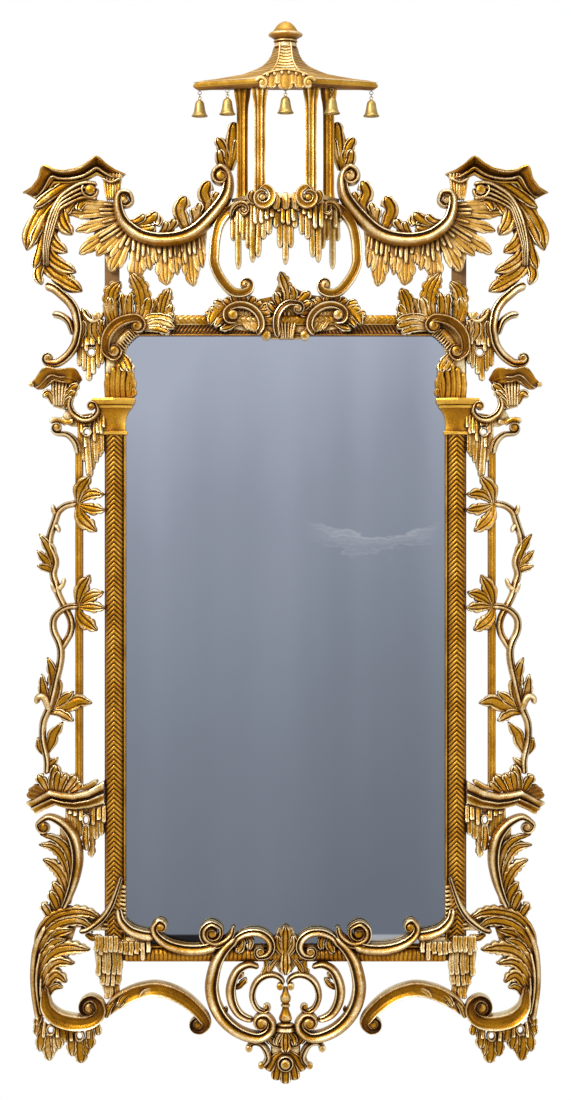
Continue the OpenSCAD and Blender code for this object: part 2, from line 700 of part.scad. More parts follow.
// Pagoda base: half-hexagonal platform, gadroons, volutes and drips
base_top = 598 + grow_z;
base_t = 14;
base_back = 89;
base_front = 52;
base_reach = roof_reach - 10;
base_side_y = relief_y + 8;
fringe_t = 12;
base_lip = 20;
FRONT_DRIPS = [[-46, 505], [-38, 488], [-29, 524], [-21, 541], [-13, 505], [-5, 482],
    [5, 480], [13, 508], [21, 541], [29, 526], [38, 490], [46, 508]];
SIDE_DRIPS = [532, 530, 478, 486, 504, 482];
module pagoda_base() {
    dx = base_back - base_front;
    dy = base_reach - base_side_y;
    run = norm([dx, dy]);
    turn = atan2(dy, dx);
    color(gold) {
        translate([0, 0, base_top - base_t]) linear_extrude(base_t) polygon([
            [-base_back, -relief_y], [-base_back, -base_side_y],
            [-base_front, -base_reach], [base_front, -base_reach],
            [base_back, -base_side_y], [base_back, -relief_y]]);
        both() translate([-41, -base_reach + 6, base_top - 6]) rotate([90, 0, 0])
            cylinder(h = 18, r = 17);
        for (x = [-16, 0, 16])
            translate([x, -base_reach + 2, base_top - 12]) rotate([90, 0, 0])
                cylinder(h = 12, r = 10);
        for (d = FRONT_DRIPS)
            translate([d[0] - 4.6, -base_reach, d[1] + grow_z])
                cube([9.2, fringe_t, base_top - base_t - d[1] - grow_z + 1]);
        both() for (i = [0:len(SIDE_DRIPS) - 1])
            translate([-base_back, -base_side_y, SIDE_DRIPS[i] + grow_z])
                rotate([0, 0, -turn])
                    translate([i * run / len(SIDE_DRIPS), 0, 0])
                        cube([run / len(SIDE_DRIPS) + 0.4, fringe_t,
                            base_top - base_t - SIDE_DRIPS[i] - grow_z + 1]);
    }
}

// Four octagonal columns with flared heads, stood on the base
front_x = 43;
front_col_y = base_reach - base_lip;
rear_x = 73;
rear_col_y = relief_y + 13;
eave_low = base_top + column_h;
head_h = 26;
module column(x, y) {
    translate([x, -y, base_top]) {
        cylinder(h = 8, r = column_r + 2.5, $fn = 8);
        cylinder(h = column_h, r = column_r, $fn = 8);
        for (k = [0:4])
            translate([0, 0, column_h - head_h + k * head_h / 5])
                cylinder(h = head_h / 5, r = column_r + 0.5 + k * k * 0.28, $fn = 8);
    }
}
module pagoda_columns() {
    color(gold) for (s = [-1, 1]) {
        column(s * front_x, front_col_y);
        column(s * rear_x, rear_col_y);
    }
}

// Roof: courses of shingles that step in along a concave line
tip_rise = 9;
courses = 14;
neck_r = 18;
roof_back = carcass_d;
function roof_half(t) = neck_r + (roof_r - 14 - neck_r) * pow(1 - t, 3.4);
function roof_plan(a) =
    let (b = 11 + (roof_front - 11) * (a - neck_r) / (roof_r - neck_r),
        f = 60 + (roof_reach - 60) * (a - neck_r) / (roof_r - neck_r))
    [[-a, -roof_back], [-b, -f], [b, -f], [a, -roof_back]];
eave_top = eave_low + eave_t;
module pagoda_roof() {
    color(gold) {
        intersection() {
            translate([0, 0, eave_low - 50]) linear_extrude(100)
                polygon(roof_plan(roof_r));
            translate([0, 0, 0]) rotate([90, 0, 0]) linear_extrude(roof_reach)
                polygon([
                    [-roof_r, eave_low + tip_rise], [-roof_front, eave_low],
                    [roof_front, eave_low], [roof_r, eave_low + tip_rise],
                    [roof_r, eave_low + tip_rise + 3],
                    [roof_r - 12, eave_top + tip_rise], [roof_front, eave_top],
                    [-roof_front, eave_top], [12 - roof_r, eave_top + tip_rise],
                    [-roof_r, eave_low + tip_rise + 3]
                ]);
        }
        for (i = [0:courses - 1])
            translate([0, 0, eave_top + (i - 1) * roof_h / courses])
                linear_extrude(2 * roof_h / courses - (i == courses - 1 ? roof_h / courses : 0))
                    polygon(roof_plan(roof_half((i + 0.5) / courses)));
        both() translate([-roof_front - 1, -roof_reach + 8, eave_top - 6])
            rotate([90, 0, 0]) cylinder(h = 16, r = 7);
        translate([0, -roof_reach + 1, 0]) rotate([90, 0, 0]) linear_extrude(6)
            polygon([
                [-roof_front + 2, eave_low + 1], [-24, eave_low - 4], [-14, eave_low + 2],
                [0, eave_low - 6], [14, eave_low + 2], [24, eave_low - 4],
                [roof_front - 2, eave_low + 1], [28, eave_top + 4], [12, eave_top + 11],
                [0, eave_top + 13], [-12, eave_top + 11], [-28, eave_top + 4]
            ]);
    }
}
roof_top = eave_top + roof_h - roof_h / courses;
finial_y = 42;
FINIAL = [[0, 0], [0.7, 0], [0.66, 0.1], [0.7, 0.16], [0.83, 0.22], [1, 0.34],
    [0.98, 0.42], [0.86, 0.52], [0.69, 0.6], [0.55, 0.7], [0.45, 0.8], [0.28, 0.93],
    [0.1, 1], [0, 1]];
module pagoda_finial() {
    color(gold) translate([0, -finial_y, roof_top])
        rotate_extrude() polygon([for (f = FINIAL) [f[0] * finial_r, f[1] * finial_h]]);
}

// Bells: each hangs by its cast loop in a link, and the link in a screw eye
hang = 2 * wire_r + play;
loop_r = link_r - 0.4;
shank = 1;
tip_inset = 11;
eave_inset = 2.5;
function eave_y(x) =
    roof_reach - (roof_reach - roof_back) * (abs(x) - roof_front) / (roof_r - roof_front);
BELLS = [
    [tip_inset - roof_r, roof_back + 4], [-98, eave_y(98) - eave_inset],
    [0, roof_reach - 9], [78, eave_y(78) - eave_inset], [roof_r - tip_inset, roof_back + 4]
];
function under(x) =
    eave_low + max(0, (abs(x) - roof_front) / (roof_r - roof_front)) * tip_rise;
function eye_z(x) = under(x) - shank - 2 * link_r;
function link_z(x) = eye_z(x) + hang - 2 * link_r;
function crown_z(x) = link_z(x) + hang - loop_r - loop_r + 0.3;
module ring(r) {
    rotate_extrude() translate([r, 0]) circle(r = wire_r, $fn = 16);
}
module eye_screws() {
    color("darkgoldenrod") for (b = BELLS)
        translate([b[0], -b[1], 0]) {
            translate([0, 0, eye_z(b[0]) + link_r]) rotate([90, 0, 0]) ring(link_r);
            translate([0, 0, under(b[0]) - shank - 0.1])
                cylinder(h = shank, r = wire_r);
        }
}
module link(i) {
    b = BELLS[i - 1];
    color("darkgoldenrod") translate([b[0], -b[1], link_z(b[0]) + link_r])
        rotate([0, 90, 0]) ring(link_r);
}
BELL_OUT = [[0.2, 1], [0.34, 0.97], [0.44, 0.9], [0.5, 0.78], [0.56, 0.55], [0.64, 0.34],
    [0.76, 0.18], [0.92, 0.07], [1, 0.03], [1, 0]];
module bell(i) {
    b = BELLS[i - 1];
    in_r = bell_r - bell_wall;
    color([0.6, 0.53, 0.34]) translate([b[0], -b[1], crown_z(b[0]) - bell_h]) {
        rotate_extrude() polygon(concat(
            [[0, bell_h]], [for (q = BELL_OUT) [q[0] * bell_r, q[1] * bell_h]],
            [for (k = [len(BELL_OUT) - 1:-1:1])
                [BELL_OUT[k][0] * bell_r - bell_wall, BELL_OUT[k][1] * (bell_h - bell_wall)]],
            [[0, (bell_h - bell_wall) * 0.98]]));
        translate([0, 0, bell_h + loop_r - 0.3]) rotate([90, 0, 0]) ring(loop_r);
    }
}

// Hangers: strap plates in pockets in the posts, each with a swinging ring
barrel_y = pocket_d - plate_t - 2.3;
barrel_w = ring_w - 3;
module hanger_plate() {
    translate([-hanger_x - barrel_w / 2, -pocket_d, hanger_z])
        cube([barrel_w, plate_t, plate_h]);
    difference() {
        translate([-hanger_x - barrel_w / 2, -barrel_y, hanger_z])
            rotate([0, 90, 0]) cylinder(h = barrel_w, r = 2.8);
        translate([-hanger_x - barrel_w, -barrel_y, hanger_z])
            rotate([0, 90, 0]) cylinder(h = 2 * barrel_w, r = ring_wire_r + play);
    }
    translate([-hanger_x - barrel_w / 2, -pocket_d, hanger_z - 1])
        cube([barrel_w, plate_t, 3]);
}
module hanger_plates() {
    color("silver") both() hanger_plate();
}
ring_drop = ring_w * 0.55;
module hanger_ring() {
    color("silver") translate([-hanger_x, -barrel_y, hanger_z]) {
        translate([-ring_r, 0, 0]) rotate([0, 90, 0])
            cylinder(h = 2 * ring_r, r = ring_wire_r);
        both() translate([-ring_r, 0, -ring_drop]) cylinder(h = ring_drop, r = ring_wire_r);
        both() translate([-ring_r, 0, 0]) sphere(r = ring_wire_r);
        translate([0, 0, -ring_drop]) rotate([90, 0, 0]) rotate([0, 0, 180])
            rotate_extrude(angle = 180) translate([ring_r, 0]) circle(r = ring_wire_r);
    }
}

back_post();  // back_post_left
mirror([1, 0, 0]) back_post();  // back_post_right
back_rail(glass_top, top_z);  // back_rail_top
back_rail(bottom_z, glass_bottom);  // back_rail_bottom
pilaster();  // pilaster_left
mirror([1, 0, 0]) pilaster();  // pilaster_right
top_moulding();
sill_moulding();
mirror_plate();
glass_blocks();
backboards();
backboard_batten();
back_screws();
capital();  // capital_left
mirror([1, 0, 0]) capital();  // capital_right
corner_scroll();  // corner_scroll_left
mirror([1, 0, 0]) corner_scroll();  // corner_scroll_right
crest_scroll();  // crest_scroll_left
mirror([1, 0, 0]) crest_scroll();  // crest_scroll_right
crest_drip();  // crest_drip_left
mirror([1, 0, 0]) crest_drip();  // crest_drip_right
corner_roof();  // corner_roof_left
mirror([1, 0, 0]) corner_roof();  // corner_roof_right
shoulder_leaf();  // shoulder_leaf_left
mirror([1, 0, 0]) shoulder_leaf();  // shoulder_leaf_right
side_bracket();  // side_bracket_left
mirror([1, 0, 0]) side_bracket();  // side_bracket_right
side_bar();  // side_bar_left
mirror([1, 0, 0]) side_bar();  // side_bar_right
vine();  // vine_left
mirror([1, 0, 0]) vine();  // vine_right
shelf();  // shelf_left
mirror([1, 0, 0]) shelf();  // shelf_right
leg();  // leg_left
mirror([1, 0, 0]) leg();  // leg_right
sill_scroll();  // sill_scroll_left
mirror([1, 0, 0]) sill_scroll();  // sill_scroll_right
apron_arch();  // apron_arch_left
mirror([1, 0, 0]) apron_arch();  // apron_arch_right
apron_cartouche();
rail_cartouche();
throat_scrolls();
pagoda_base();
pagoda_columns();
pagoda_roof();
pagoda_finial();
eye_screws();
link(1);  // link_1
link(2);  // link_2
link(3);  // link_3
link(4);  // link_4
link(5);  // link_5
bell(1);  // bell_1
bell(2);  // bell_2
bell(3);  // bell_3
bell(4);  // bell_4
bell(5);  // bell_5
hanger_plates();
hanger_ring();  // hanger_ring_left
mirror([1, 0, 0]) hanger_ring();  // hanger_ring_right
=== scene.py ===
import math
import random

import bpy
import numpy as np
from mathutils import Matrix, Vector


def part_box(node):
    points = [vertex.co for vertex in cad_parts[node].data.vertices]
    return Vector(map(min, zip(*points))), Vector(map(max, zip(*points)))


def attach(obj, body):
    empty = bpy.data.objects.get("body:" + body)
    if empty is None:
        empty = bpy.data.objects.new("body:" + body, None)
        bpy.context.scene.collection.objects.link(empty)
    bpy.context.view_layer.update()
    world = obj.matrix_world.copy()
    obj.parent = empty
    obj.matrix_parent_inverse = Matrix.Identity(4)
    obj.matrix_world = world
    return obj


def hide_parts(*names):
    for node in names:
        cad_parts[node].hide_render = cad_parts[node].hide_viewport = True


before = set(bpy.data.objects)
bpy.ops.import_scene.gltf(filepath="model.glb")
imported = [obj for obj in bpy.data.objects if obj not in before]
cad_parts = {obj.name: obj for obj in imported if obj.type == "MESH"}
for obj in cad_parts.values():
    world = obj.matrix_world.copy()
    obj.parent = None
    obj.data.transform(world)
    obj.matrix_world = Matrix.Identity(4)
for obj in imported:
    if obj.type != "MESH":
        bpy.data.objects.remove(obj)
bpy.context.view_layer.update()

# The carving is laid out in millimetres, seen from the front: x to the right and z up from the
# middle of the frame. Depths count forward from the wall, so that depth d is y = -d.
MM = 0.001
PLATE_BACK = 23.0  # rear face of the flat grounds
GROUND = 24.0  # plane that the mouldings rise from
SIGHT_X = 271.0  # edges of the glass in sight
SIGHT_TOP = 366.0
SIGHT_BOTTOM = -668.0
BASE_TOP = 598.0  # top of the pagoda's platform
EAVE_Z = 776.0  # underside of the roof in the middle
ROOF_Z = 789.0  # where its slopes start, above the eaves
ROOF_H = 70.6  # height of the slopes
TIP_RISE = 9.0  # how much higher the roof's two outer corners are
BOSS = 0.42  # height of a boss for each unit of its radius

# Sections of mouldings: (across, height), from one edge to the other
SCROLL = [
    (-1, 0), (-1, .3), (-.96, .48), (-.86, .68), (-.7, .85), (-.5, .96), (-.26, 1), (-.02, .96),
    (.2, .87), (.36, .79), (.46, .74), (.54, .75), (.6, .82), (.7, .88), (.82, .86), (.92, .74),
    (.98, .5), (1, .3), (1, 0)]
HOLLOW = [
    (-1, 0), (-1, .68), (-.95, .9), (-.86, .98), (-.74, .95), (-.56, .86), (-.3, .78), (0, .75),
    (.3, .78), (.54, .86), (.7, .95), (.82, 1), (.94, .92), (1, .7), (1, 0)]
ROUND = [
    (-1, 0), (-.98, .34), (-.86, .64), (-.62, .87), (-.3, .98), (0, 1), (.3, .98), (.62, .87),
    (.86, .64), (.98, .34), (1, 0)]
STEM = [
    (-1, 0), (-1, .3), (-.8, .7), (-.5, .86), (-.3, .78), (-.12, .9), (.1, 1), (.4, .94),
    (.75, .7), (.96, .35), (1, 0)]
STRAP = [
    (-1, 0), (-1, .76), (-.88, .93), (-.7, .95), (-.54, .87), (-.3, .84), (0, .86), (.3, .9),
    (.6, .99), (.8, 1), (.94, .9), (1, .7), (1, 0)]

# Sections of the eaves and of the soffit under them: (outwards, upwards) from their middle
EAVE = [(-9, 6.2), (-1, 7), (2, 5.6), (2.6, 3), (2.4, -.2), (1.2, -1.6), (-9, -1.6)]
SOFFIT = [(-9, -1.2), (1.4, -1.2), (.8, -2.4), (-2, -5.8), (-4, -6.6), (-9, -6.6)]


class Carving:
    """Gathers the vertices, in millimetres, and the faces of one carved piece."""

    def __init__(self, seed):
        self.verts = []
        self.faces = []
        self.dice = random.Random(seed)

    def seat(self, back):
        """Sets a back face a hair forward, so that no two share one plane."""
        return np.asarray(back, float) + self.dice.uniform(0, .9)

    def loft(self, rings, joined=False):
        """A skin over the rings, capped at both ends, or joined end to end."""
        rings = np.asarray(rings, float)
        count = len(rings[0])
        base = len(self.verts)
        first = len(self.faces)
        self.verts.extend(rings.reshape(-1, 3).tolist())
        last = base + (len(rings) - 1) * count
        rows = [(base + i * count, base + (i + 1) * count) for i in range(len(rings) - 1)]
        if joined:
            rows.append((last, base))
        for a, b in rows:
            for k in range(count):
                j = (k + 1) % count
                self.faces.append((a + k, a + j, b + j, b + k))
        if not joined:
            self.faces.append(tuple(base + k for k in range(count - 1, -1, -1)))
            self.faces.append(tuple(last + k for k in range(count)))
        if self.volume(rings, joined) < 0:
            self.faces[first:] = [f[::-1] for f in self.faces[first:]]

    @staticmethod
    def volume(rings, joined):
        """Six times the volume of a loft, negative when its faces look inward."""
        r = rings - rings.reshape(-1, 3).mean(axis=0)
        low = r if joined else r[:-1]
        high = np.roll(r, -1, axis=0) if joined else r[1:]
        low_next, high_next = np.roll(low, -1, axis=1), np.roll(high, -1, axis=1)
        total = np.sum(low * np.cross(low_next, high_next))
        total += np.sum(low * np.cross(high_next, high))
        if not joined:
            for ring, sign in ((r[0], -1), (r[-1], 1)):
                total += sign * np.sum(ring[0] * np.cross(ring, np.roll(ring, -1, axis=0)))
        return total


def distance(line):
    """How far along a line each of its points is."""
    return np.concatenate([[0], np.cumsum(np.linalg.norm(np.diff(line, axis=0), axis=1))])


def circle(count, sense=1):
    """Angles of this many points evenly round a circle."""
    return np.linspace(0, sense * 2 * math.pi, count, endpoint=False)


def smooth_line(points, step):
    """A Catmull-Rom line through the points, in even steps."""
    p = np.asarray(points, float)
    ends = np.vstack([2 * p[0] - p[1], p, 2 * p[-1] - p[-2]])
    out = []
    for i in range(len(p) - 1):
        a, b, c, d = ends[i:i + 4]
        for t in np.linspace(0, 1, 12, endpoint=False):
            out.append(.5 * (2 * b + (c - a) * t + (2 * a - 5 * b + 4 * c - d) * t ** 2
                             + (3 * b - a - 3 * c + d) * t ** 3))
    out.append(p[-1])
    run = distance(out)
    count = max(6, int(run[-1] / step) + 1)
    even = np.linspace(0, run[-1], count)
    return np.stack([np.interp(even, run, values) for values in np.transpose(out)], axis=1)


def along(values, count):
    """The values spread evenly over this many places."""
    values = np.atleast_1d(np.asarray(values, float))
    return np.interp(np.linspace(0, 1, count), np.linspace(0, 1, len(values)), values)


def normals(line):
    """Unit normals, to the left of the line's run."""
    t = np.gradient(line, axis=0)
    t /= np.linalg.norm(t, axis=1)[:, None] + 1e-9
    return np.stack([-t[:, 1], t[:, 0]], axis=1)


def curl(end, before, centre, turns):
    """Spiral points that wind from the end of a line in to its eye, to .3 of the radius."""
    radius = end - centre
    heading = end - before
    sense = 1 if radius[0] * heading[1] - radius[1] * heading[0] > 0 else -1
    start = math.atan2(radius[1], radius[0])
    wide = np.linalg.norm(radius)
    count = max(4, int(turns * 14))
    out = []
    for i in range(1, count + 1):
        f = i / count
        r = wide * (1 - f * (1 - .3))
        a = start + sense * turns * 2 * math.pi * f
        out.append(centre + r * np.array([math.cos(a), math.sin(a)]))
    return out


def sweep(c, points, width, height, section=SCROLL, back=26, step=3.0, flip=False):
    """A moulding swept along a line in the front view, with rounded ends."""
    line = smooth_line(points, step)
    n = normals(line)
    count = len(line)
    w = along(width, count) / 2
    h = along(height, count)
    b = along(c.seat(back), count)
    run = distance(line)
    # Round off both ends over nine tenths of the half width
    near = np.clip(np.minimum(run, run[-1] - run) / (w * .9 + .1), 0, 1)
    w = w * (.25 + .75 * np.sqrt(1 - (1 - near) ** 2))
    h = h * (.8 + .2 * near)
    rings = []
    for i in range(count):
        ring = []
        for u, v in section:
            u = -u if flip else u
            q = line[i] + n[i] * u * w[i]
            ring.append((q[0], -(b[i] + v * h[i]), q[1]))
        rings.append(ring[::-1] if flip else ring)
    c.loft(rings)


def ball(c, x, z, r, top, back=24, rings=6, sides=18):
    """A rounded boss: the eye of a volute or a bead."""
    back = c.seat(back)
    turn = circle(sides, -1)
    out = [[(x + r * math.cos(a), -back, z + r * math.sin(a)) for a in turn]]
    for i in range(rings):
        f = i / (rings - 1) * math.pi / 2 * .96
        rr = r * math.cos(f)
        y = -(top - r * BOSS + r * BOSS * math.sin(f))
        out.append([(x + rr * math.cos(a), y, z + rr * math.sin(a)) for a in turn])
    c.loft(out)


def scroll(c, points, width, height, start=None, end=None, back=26, section=SCROLL,
           flip=False, turns=1.0, eye=.56):
    """A C or S scroll. start and end are (x, z) of a volute's eye, or None.

    turns is how far a volute winds, and eye the size of its boss against its radius.
    """
    p = [np.array(q, float) for q in points]
    w = list(np.atleast_1d(width))
    h = list(np.atleast_1d(height))
    before, after = [], []
    if start is not None:
        before = curl(p[0], p[1], np.array(start, float), turns)[::-1]
    if end is not None:
        after = curl(p[-1], p[-2], np.array(end, float), turns)
    full = before + p + after
    w_body = along(w, len(p))
    h_body = along(h, len(p))
    w_full = np.concatenate([
        np.linspace(w_body[0] * .34, w_body[0], len(before), endpoint=False), w_body,
        np.linspace(w_body[-1], w_body[-1] * .34, len(after) + 1)[1:]])
    h_full = np.concatenate([
        np.linspace(h_body[0] * 1.1, h_body[0], len(before), endpoint=False), h_body,
        np.linspace(h_body[-1], h_body[-1] * 1.1, len(after) + 1)[1:]])
    run = distance(np.array(full))
    even = np.linspace(0, run[-1], 48)
    sweep(c, full, np.interp(even, run, w_full), np.interp(even, run, h_full), section, back,
          flip=flip)
    for spot, edge, tall in ((start, p[0], h_body[0]), (end, p[-1], h_body[-1])):
        if spot is not None:
            r = np.linalg.norm(np.array(edge) - np.array(spot)) * eye
            ball(c, spot[0], spot[1], max(r, 3.2), back + tall * 1.02)


def leaf(c, points, width, height, back=24, veins=2, cup=.2, root=.58, tip=.34, step=1.8,
         teeth=None):
    """One lobe of a leaf: fluted along its veins, notched, and curled forward at its tip.

    cup lifts the edges, root is the width at the root against the full width, tip the share of
    the length that narrows to the tip, and teeth the count of notches on each edge.
    """
    line = smooth_line(points, step)
    n = normals(line)
    count = len(line)
    if teeth is None:
        teeth = 0 if width < 12 else max(2, int(round(count * step / 13)))
    us = np.linspace(-1, 1, 6 * veins + 1)
    back = c.seat(back)
    rings = []
    for i in range(count):
        t = i / (count - 1)
        swell = root + (1 - root) * math.sin(min(t / .6, 1) * math.pi / 2) ** 1.2
        if t > 1 - tip:
            k = (t - 1 + tip) / tip
            swell *= (1 - k ** 1.9 if teeth else math.sqrt(max(1 - k * k, 0))) * .9 + .1
        rise = height * np.interp(t, (0, .3, .7, .9, .97, 1), (.5, .68, .92, 1.08, .98, .6))
        edge = [1.0, 1.0]
        for side in (0, 1):
            if teeth and t > .25:
                lobe = abs(math.sin(math.pi * (t * teeth + .5 * side))) ** .6
                edge[side] = 1 - min(1, (t - .25) / .2) * .36 * (1 - lobe)
        half = width / 2 * swell
        ahead = np.array((n[i][1], -n[i][0])) * half * (.4 if teeth else 0)
        at = line[i]
        low = at - n[i] * half * edge[0] + ahead
        ring = [(low[0], -back, low[1])]
        for u in us:
            # Height across the lobe: ridges between the veins, lifted sides, a thin edge
            flute = abs(math.cos(u * veins * math.pi / 2)) ** .5
            v = .62 + .5 / (veins + .6) * flute * (1 - t * .3) + cup * u * u - .42 * abs(u) ** 7
            reach = 1 - (1 - edge[int(u > 0)]) * abs(u) ** 1.5
            q = at + n[i] * u * half * reach + ahead * u * u
            ring.append((q[0], -(back + rise * v), q[1]))
        high = at + n[i] * half * edge[1] + ahead
        ring.append((high[0], -back, high[1]))
        rings.append(ring)
    c.loft(rings)


def leaves(c, lobes, height, back=27, cup=.2, side=1, veins=None, teeth=None, root=.58,
           tip=.34):
    """Several lobes: each is the x and z of its points, then its width."""
    for *line, width in lobes:
        points = [(side * x, z) for x, z in zip(line[::2], line[1::2])]
        count = veins or (3 if width > 19 else 2 if width > 10 else 1)
        leaf(c, points, width * 1.12, height * c.dice.uniform(.9, 1.1), back, count, cup, root,
             tip, teeth=teeth)


def curtain(c, lanes, height, back=25, front=.5, side=1):
    """Hanging flutes with pointed ends: each is the x and z of its top and tip, then its width.

    front is how far down a second, thicker flute reaches over each, or 0 for none.
    """
    for x0, z0, x1, z1, width in lanes:
        a = np.array((side * x0, z0), float)
        b = np.array((side * x1, z1), float)
        bend = (a + b) / 2 + (c.dice.uniform(-.8, .8), 0)
        leaf(c, [a, bend, b], width * 1.12, height * c.dice.uniform(.85, 1.1), back, 1, .14, .8,
             .16, 2.2, 0)
        if front:
            stop = a + (b - a) * front * c.dice.uniform(.8, 1.15)
            off = np.array((width * .46, 0))
            leaf(c, [a + off, (a + stop) / 2 + off, stop + off], width * .86, height * 1.4, back,
                 1, .1, .85, .2, 2.2, 0)


def rib(c, top, tip, width, height, back, point=.14):
    """One drip: a half-round finger with a blunt point."""
    back = c.seat(back)
    top = np.array(top, float)
    tip = np.array(tip, float)
    d = tip - top
    n = np.array([-d[1], d[0]]) / (np.linalg.norm(d) + 1e-9)
    rings = []
    stops = (0, .25, .5, 1 - point, 1 - point * .5, 1 - point * .14, 1)
    swell = (.92, .97, 1, 1.02, .97, .8, .4)
    rise = (.7, .85, .95, 1, .98, .84, .5)
    for t, s, r in zip(stops, swell, rise):
        q = top + d * t
        rings.append([(q[0] + n[0] * u * width / 2 * s, -(back + v * height * r),
                       q[1] + n[1] * u * width / 2 * s) for u, v in ROUND])
    c.loft(rings)


def hoop(c, x, z, r, width, height, tall=1.0):
    """A raised rim round a pierced hole."""
    sweep(c, [(x + r * math.cos(a), z + r * tall * math.sin(a)) for a in np.linspace(0, 7.1, 17)],
          width, height, ROUND)


def tube(c, points, radius, sides=10):
    """A round bead along a line in space."""
    p = np.asarray(points, float)
    t = np.gradient(p, axis=0)
    t /= np.linalg.norm(t, axis=1)[:, None]
    rings = []
    for i in range(len(p)):
        side = np.cross(t[i], (0, 1, .2))
        side /= np.linalg.norm(side)
        up = np.cross(side, t[i])
        rings.append([p[i] + radius * (math.cos(a) * side + math.sin(a) * up)
                      for a in circle(sides)])
    c.loft(rings)


def slab(c, x0, x1, z0, z1):
    """A small upright board."""
    plate(c, [(x0, z0), (x1, z0), (x1, z1), (x0, z1)], 27, 1)


def plate(c, outline, front=28, bevel=1.5):
    """A flat board of any outline, with a small bevel at its front edge."""
    back = c.seat(PLATE_BACK)
    p = np.asarray(outline, float)
    area = np.sum(p[:, 0] * np.roll(p[:, 1], -1) - np.roll(p[:, 0], -1) * p[:, 1])
    if area < 0:
        p = p[::-1]
    t = np.roll(p, -1, axis=0) - np.roll(p, 1, axis=0)
    t /= np.linalg.norm(t, axis=1)[:, None] + 1e-9
    inner = p + np.stack([-t[:, 1], t[:, 0]], axis=1) * bevel
    rings = [[(q[0], -back, q[1]) for q in p], [(q[0], -(front - bevel), q[1]) for q in p],
             [(q[0], -front, q[1]) for q in inner]]
    c.loft([r[::-1] for r in rings])


def lathe(c, profile, x, y, sides, ridges=0, depth=0, joined=False):
    """A turned piece about an upright axis, from (radius, z) stops; ridges scallop it."""
    rings = []
    for r, z in profile:
        ring = []
        for k in range(sides):
            a = 2 * math.pi * k / sides
            rr = r * (1 - depth * (.5 - .5 * math.cos(a * ridges))) if ridges else r
            ring.append((x + rr * math.cos(a), y + rr * math.sin(a), z))
        rings.append(ring)
    c.loft(rings, joined)


def octagon(c, stops, x, y, z):
    """A column of eight hollow faces; stops holds (corner radius, height)."""
    half = math.pi / 8
    per = 8
    rings = []
    for r, h in stops:
        ring = []
        for k in range(8 * per):
            a = 2 * math.pi * k / (8 * per)
            b = a % (2 * half) - half
            rr = r * math.cos(half) / math.cos(b) * (1 - .13 * max(0, math.cos(b * 4 * 1.15)))
            ring.append((x + rr * math.cos(a + half), y + rr * math.sin(a + half), z + h))
        rings.append(ring)
    c.loft(rings)


def canopy(c, top, low, cove):
    """A flared cornice: a coved face between a top edge and a low edge, each (x, z, depth)."""
    top = np.asarray(top, float)
    low = np.asarray(low, float)
    rings = []
    for i in range(len(top) - 1):
        for f in np.linspace(0, 1, 7, endpoint=(i == len(top) - 2)):
            a = top[i] + (top[i + 1] - top[i]) * f
            b = low[i] + (low[i + 1] - low[i]) * f
            ring = [(b[0], -PLATE_BACK, b[1])]
            for up, out in cove:
                ring.append((b[0] + (a[0] - b[0]) * out, -(b[2] + (a[2] - b[2]) * out),
                             b[1] + (a[1] - b[1]) * up))
            ring.append((a[0], -PLATE_BACK, a[1]))
            rings.append(ring)
    c.loft(rings)


def edgings(c, top, low, down, share, up, sizes, ahead, step):
    """Beads along a canopy: down from its top edge, across its cove and up from its low edge."""
    top = np.array(top, float)
    low = np.array(low, float)
    lines = (top - (0, down, 3), low * share + top * (1 - share), low + (0, up, 0))
    for line, (width, height) in zip(lines, sizes):
        sweep(c, line[:, :2], width, height, ROUND, line[:, 2] + ahead, step=step)


def relief(c, x0, x1, z0, z1, rise, step=1.05):
    """A panel whose front rises from the ground by rise(x, z), closed at its sides and back."""
    nx = max(3, int((x1 - x0) / step) + 1)
    nz = max(3, int((z1 - z0) / step) + 1)
    xs = np.linspace(x0, x1, nx)
    zs = np.linspace(z0, z1, nz)
    gx, gz = np.meshgrid(xs, zs)
    gy = -(GROUND + rise(gx, gz))
    base = len(c.verts)
    c.verts.extend(np.stack([gx, gy, gz], axis=2).reshape(-1, 3).tolist())
    for j in range(nz - 1):
        for i in range(nx - 1):
            a = base + j * nx + i
            c.faces.append((a, a + 1, a + nx + 1, a + nx))
    edge = [(0, i) for i in range(nx)] + [(j, nx - 1) for j in range(1, nz)]
    edge += [(nz - 1, i) for i in range(nx - 2, -1, -1)] + [(j, 0) for j in range(nz - 2, 0, -1)]
    rim = len(c.verts)
    c.verts.extend([(xs[i], -PLATE_BACK, zs[j]) for j, i in edge])
    for k in range(len(edge)):
        m = (k + 1) % len(edge)
        a = base + edge[k][0] * nx + edge[k][1]
        b = base + edge[m][0] * nx + edge[m][1]
        c.faces.append((b, a, rim + k, rim + m))
    c.faces.append(tuple(rim + k for k in range(len(edge))))


def bead(v, middle, half):
    """The round of a bead across v: 0 outside it to 1 in its middle."""
    return np.sqrt(np.clip(1 - ((v - middle) / half) ** 2, 0, 1))


def feathers(run, off, pitch):
    """A herringbone of pointed leaflets: 0 in the grooves to 1 on the leaflets."""
    f = (run + off * .9) / pitch
    f = f - np.floor(f)
    return np.clip(1.1 * (1 - np.abs(2 * f - 1) ** 2.2), 0, 1)


# Materials

def tone(r, g, b):
    """A colour read off the photograph, 0 to 255, as linear light."""
    out = []
    for v in (r, g, b):
        v /= 255
        out.append(v / 12.92 if v <= .04045 else ((v + .055) / 1.055) ** 2.4)
    return (*out, 1)


